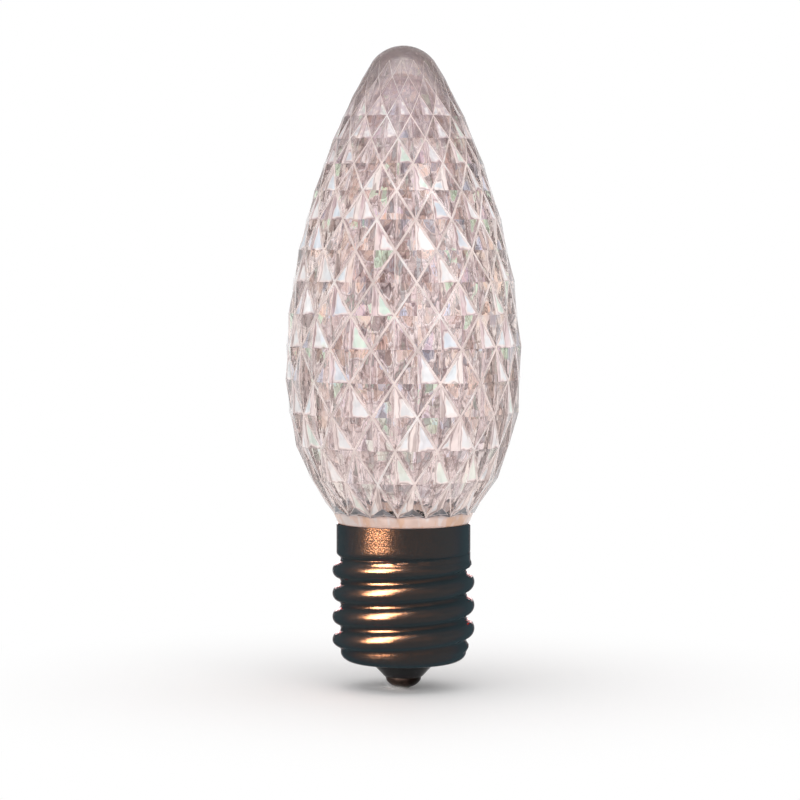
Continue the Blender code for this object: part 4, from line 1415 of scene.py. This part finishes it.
def diode_phosphor():
    """The phosphor in the cup, with a domed top of several rings."""
    bm = bmesh.new()
    half_length = LED_LENGTH / 2 - LED_FRAME - ASSEMBLY_GAP
    half_width = LED_WIDTH / 2 - LED_FRAME - ASSEMBLY_GAP
    levels = [(-LED_CUP_TAPER, LED_HEIGHT - LED_CUP_DEPTH + ASSEMBLY_GAP), (0.0, LED_HEIGHT)]
    for step in range(1, PHOSPHOR_DOME_STEPS + 1):
        share = step / (PHOSPHOR_DOME_STEPS + 1)
        rise = LED_DOME * math.sin(0.5 * math.pi * share)
        levels.append((-LED_CUP_TAPER * PHOSPHOR_DOME_IN * share, LED_HEIGHT + rise))
    rings = []
    for grow, height in levels:
        ring = []
        for step in range(PHOSPHOR_SEGMENTS):
            angle = 2 * math.pi * step / PHOSPHOR_SEGMENTS
            side = max(abs(math.cos(angle)), abs(math.sin(angle))) ** PHOSPHOR_SQUARENESS
            reach = Vector((math.cos(angle), math.sin(angle))) / side
            x = max(-1.0, min(1.0, reach.x)) * (half_length + grow)
            y = max(-1.0, min(1.0, reach.y)) * (half_width + grow)
            ring.append(bm.verts.new((x, y, height)))
        rings.append(ring)
    for first, second in zip(rings, rings[1:]):
        join_rings(bm, first, second)
    bm.faces.new(rings[0])
    bm.faces.new(rings[-1])
    bmesh.ops.recalc_face_normals(bm, faces=bm.faces)
    return bm


class BULB_OT_diodes(bpy.types.Operator):
    """Makes the five diodes on the board."""

    bl_idname = "bulb.diodes"
    bl_label = "Diodes"

    def execute(self, context):
        """Builds a frame and a filling for each diode."""
        settings = context.scene.bulb_circuit
        white = coated_finish("diode_frame", settings.package, 0.90, 0.38, 4000.0)
        yellow = coated_finish("diode_phosphor", settings.phosphor, 0.78, 0.34, 5200.0, bumps=0.2)
        for number, place in enumerate(diode_places(), start=1):
            for kind, make, finish, slot in (
                ("package", diode_package, white, "led_white"),
                ("phosphor", diode_phosphor, yellow, "phosphor_yellow"),
            ):
                bm = make()
                place_bmesh(bm, place)
                node = f"led_{kind}_{number}"
                add_piece(f"diode_{kind}_{number}", bm, (finish,), (node,), crease=35.0)
        return {"FINISHED"}


class BULB_OT_circuit(bpy.types.Operator):
    """Finishes the board and the components under it."""

    bl_idname = "bulb.circuit"
    bl_label = "Board and components"

    def execute(self, context):
        """Gives each component its lacquer, moulding or metal."""
        settings = context.scene.bulb_circuit
        solder = bpy.data.materials.get("solder")
        if solder is None:
            raise RuntimeError("the foot is made before the circuit, because they share their solder")
        finish_node("circuit_board", board_finish(settings))
        for node, *finish in (
            ("bridge_rectifier", "black_moulding", settings.moulding, 0.6, 0.42, 3600.0),
            ("dropping_resistor", "resistor_lacquer", settings.resistor, 0.72, 0.36, 1800.0),
            ("return_wire", "wire_sleeve", settings.sleeve, 0.6, 0.45, 2600.0),
        ):
            finish_node(node, coated_finish(*finish))
        finish_node("shell_solder", solder)
        return {"FINISHED"}


# The stage


def seen_ray(tree):
    """1 for the rays that show the background: to the camera, off gloss and through the lens."""
    path = place_node(tree, "ShaderNodeLightPath").outputs
    straight = calc(tree, "MAXIMUM", path["Is Camera Ray"], path["Is Glossy Ray"])
    return calc(tree, "MAXIMUM", straight, path["Is Transmission Ray"])


def floor_finish(settings):
    """A pale floor that keeps the bulb's shadow and runs into the white background further off."""
    made, tree, shader = new_finish("pale_floor", Metallic=0.0, Roughness=0.6)
    grain = mottle_mask(tree, 9.0, 0.30, 0.70)
    tint = mix_colours(tree, grain, darkened(settings.floor_colour, 0.985), settings.floor_colour)
    tree.links.new(tint, shader.inputs["Base Color"])
    reach = vector_length(tree, place_node(tree, "ShaderNodeNewGeometry").outputs["Position"])
    far = smooth_mask(tree, reach, FLOOR_FADE_START, FLOOR_FADE_END, 0.0, 1.0)
    share = calc(tree, "MULTIPLY", far, seen_ray(tree))
    white = place_node(tree, "ShaderNodeEmission", {"Strength": 1.0})
    both = place_node(tree, "ShaderNodeMixShader", {0: share, 1: shader.outputs[0], 2: white.outputs[0]})
    tree.links.new(both.outputs[0], tree.nodes["Material Output"].inputs["Surface"])
    return made


def make_world(settings):
    """White round the horizon, and a dimmer studio above it in soft upright bands."""
    world = bpy.data.worlds.new("studio")
    bpy.context.scene.world = world
    world.use_nodes = True
    tree = world.node_tree
    tree.nodes.clear()
    out = place_node(tree, "ShaderNodeOutputWorld")
    where = place_node(tree, "ShaderNodeTexCoord")
    parts = place_node(tree, "ShaderNodeSeparateXYZ", {"Vector": where.outputs["Generated"]}).outputs
    turn = calc(tree, "ARCTAN2", parts["Y"], parts["X"])
    wave = calc(tree, "SINE", calc(tree, "MULTIPLY", turn, STUDIO_BANDS))
    bands = smooth_mask(tree, wave, -0.7, 0.7, 0.65, 1.0)
    values = {0: settings.aloft_colour, "Scale": bands}
    shade = place_node(tree, "ShaderNodeVectorMath", values, operation="SCALE").outputs[0]
    above = smooth_mask(tree, parts["Z"], HORIZON_START, HORIZON_END, 0.0, 1.0)
    aloft = mix_colours(tree, above, WHITE, shade)
    path = place_node(tree, "ShaderNodeLightPath").outputs
    plain = mix_colours(tree, path["Is Diffuse Ray"], aloft, STUDIO_DIFFUSE)
    shown = mix_colours(tree, path["Is Camera Ray"], plain, WHITE)
    light = place_node(tree, "ShaderNodeBackground", {"Color": shown, "Strength": 1.0})
    tree.links.new(light.outputs[0], out.inputs["Surface"])


def add_lamp(name, azimuth, elevation, width, height, radiance, distance, gloss_only=False):
    """A soft rectangular lamp that faces the bulb."""
    lamp = bpy.data.lights.new(name, "AREA")
    lamp.shape = "RECTANGLE"
    lamp.size = width
    lamp.size_y = height
    lamp.energy = radiance * math.pi * width * height
    made = bpy.data.objects.new(name, lamp)
    bpy.context.scene.collection.objects.link(made)
    turn, rise = math.radians(azimuth), math.radians(elevation)
    side = Vector((math.sin(turn) * math.cos(rise), -math.cos(turn) * math.cos(rise), math.sin(rise)))
    made.location = LAMP_AIM + side * distance
    made.rotation_euler = (LAMP_AIM - made.location).to_track_quat("-Z", "Y").to_euler()
    made.visible_camera = False
    made.visible_transmission = False
    made.visible_diffuse = not gloss_only
    return made


class BULB_OT_stage(bpy.types.Operator):
    """Makes the floor, the light and the camera."""

    bl_idname = "bulb.stage"
    bl_label = "Studio"

    def execute(self, context):
        """Builds the studio round the bulb."""
        settings = context.scene.bulb_stage
        self.add_floor(settings)
        make_world(settings)
        for lamp in SOFT_LAMPS:
            add_lamp(*lamp, SOFT_LAMP_DISTANCE)
        for group, pieces in LIT_PIECES.items():
            lit = bpy.data.collections.new(group)
            for name in pieces:
                lit.objects.link(bpy.data.objects[name])
        for group, *lamp in GLOSS_LAMPS:
            made = add_lamp(*lamp, GLOSS_LAMP_DISTANCE, gloss_only=True)
            made.light_linking.receiver_collection = bpy.data.collections[group]
        self.add_camera(settings)
        context.scene.view_settings.view_transform = "Standard"
        for name, count in BOUNCES.items():
            setattr(context.scene.cycles, name, count)
        return {"FINISHED"}

    def add_floor(self, settings):
        """A round pale floor under the contact."""
        bm = bmesh.new()
        ring = add_ring(bm, settings.floor_radius, 0.0, FLOOR_SEGMENTS)
        bm.faces.new(ring)
        mesh = bpy.data.meshes.new("floor")
        bm.to_mesh(mesh)
        bm.free()
        mesh.materials.append(floor_finish(settings))
        floor = bpy.data.objects.new("floor", mesh)
        bpy.context.scene.collection.objects.link(floor)

    def add_camera(self, settings):
        """The camera, a little above the level in front of the bulb."""
        camera = bpy.data.cameras.new("camera")
        made = bpy.data.objects.new("camera", camera)
        bpy.context.scene.collection.objects.link(made)
        aim = Vector((settings.aim_side, 0.0, settings.aim_height))
        back = Vector((0.0, -math.cos(settings.elevation), math.sin(settings.elevation)))
        made.location = aim + back * settings.distance
        made.rotation_euler = (-back).to_track_quat("-Z", "Y").to_euler()
        camera.sensor_width = SENSOR_WIDTH
        camera.lens = SENSOR_WIDTH * settings.distance / settings.view_width
        camera.clip_start = 0.01
        camera.clip_end = 50.0
        bpy.context.scene.camera = made


class BULB_PT_panel(bpy.types.Panel):
    """Lists the bulb's pieces in the sidebar."""

    bl_idname = "BULB_PT_panel"
    bl_label = "Festoon bulb"
    bl_space_type = "VIEW_3D"
    bl_region_type = "UI"
    bl_category = "Festoon bulb"

    def draw(self, context):
        """Draws the settings, and then a button for each operator."""
        for name in SETTINGS:
            box = self.layout.box()
            group = getattr(context.scene, name)
            for label in group.bl_rna.properties.keys():
                if label not in ("rna_type", "name"):
                    box.prop(group, label)
        for operator in OPERATORS:
            self.layout.operator(operator.bl_idname)


OPERATORS = (BULB_OT_lens, BULB_OT_screw_shell, BULB_OT_foot, BULB_OT_diodes, BULB_OT_circuit, BULB_OT_stage)


def register():
    """Registers the settings, the operators and the panel."""
    for settings in SETTINGS.values():
        bpy.utils.register_class(settings)
    for operator in OPERATORS:
        bpy.utils.register_class(operator)
    bpy.utils.register_class(BULB_PT_panel)
    for name, settings in SETTINGS.items():
        setattr(bpy.types.Scene, name, bpy.props.PointerProperty(type=settings))


def unregister():
    """Takes them out again."""
    for name in SETTINGS:
        delattr(bpy.types.Scene, name)
    bpy.utils.unregister_class(BULB_PT_panel)
    for made in (*reversed(OPERATORS), *reversed(SETTINGS.values())):
        bpy.utils.unregister_class(made)


def main():
    """Makes the bulb and its stage."""
    register()
    bpy.ops.bulb.lens()
    bpy.ops.bulb.screw_shell()
    bpy.ops.bulb.foot()
    bpy.ops.bulb.diodes()
    bpy.ops.bulb.circuit()
    bpy.ops.bulb.stage()
    bpy.context.view_layer.update()


if __name__ == "__main__":
    main()
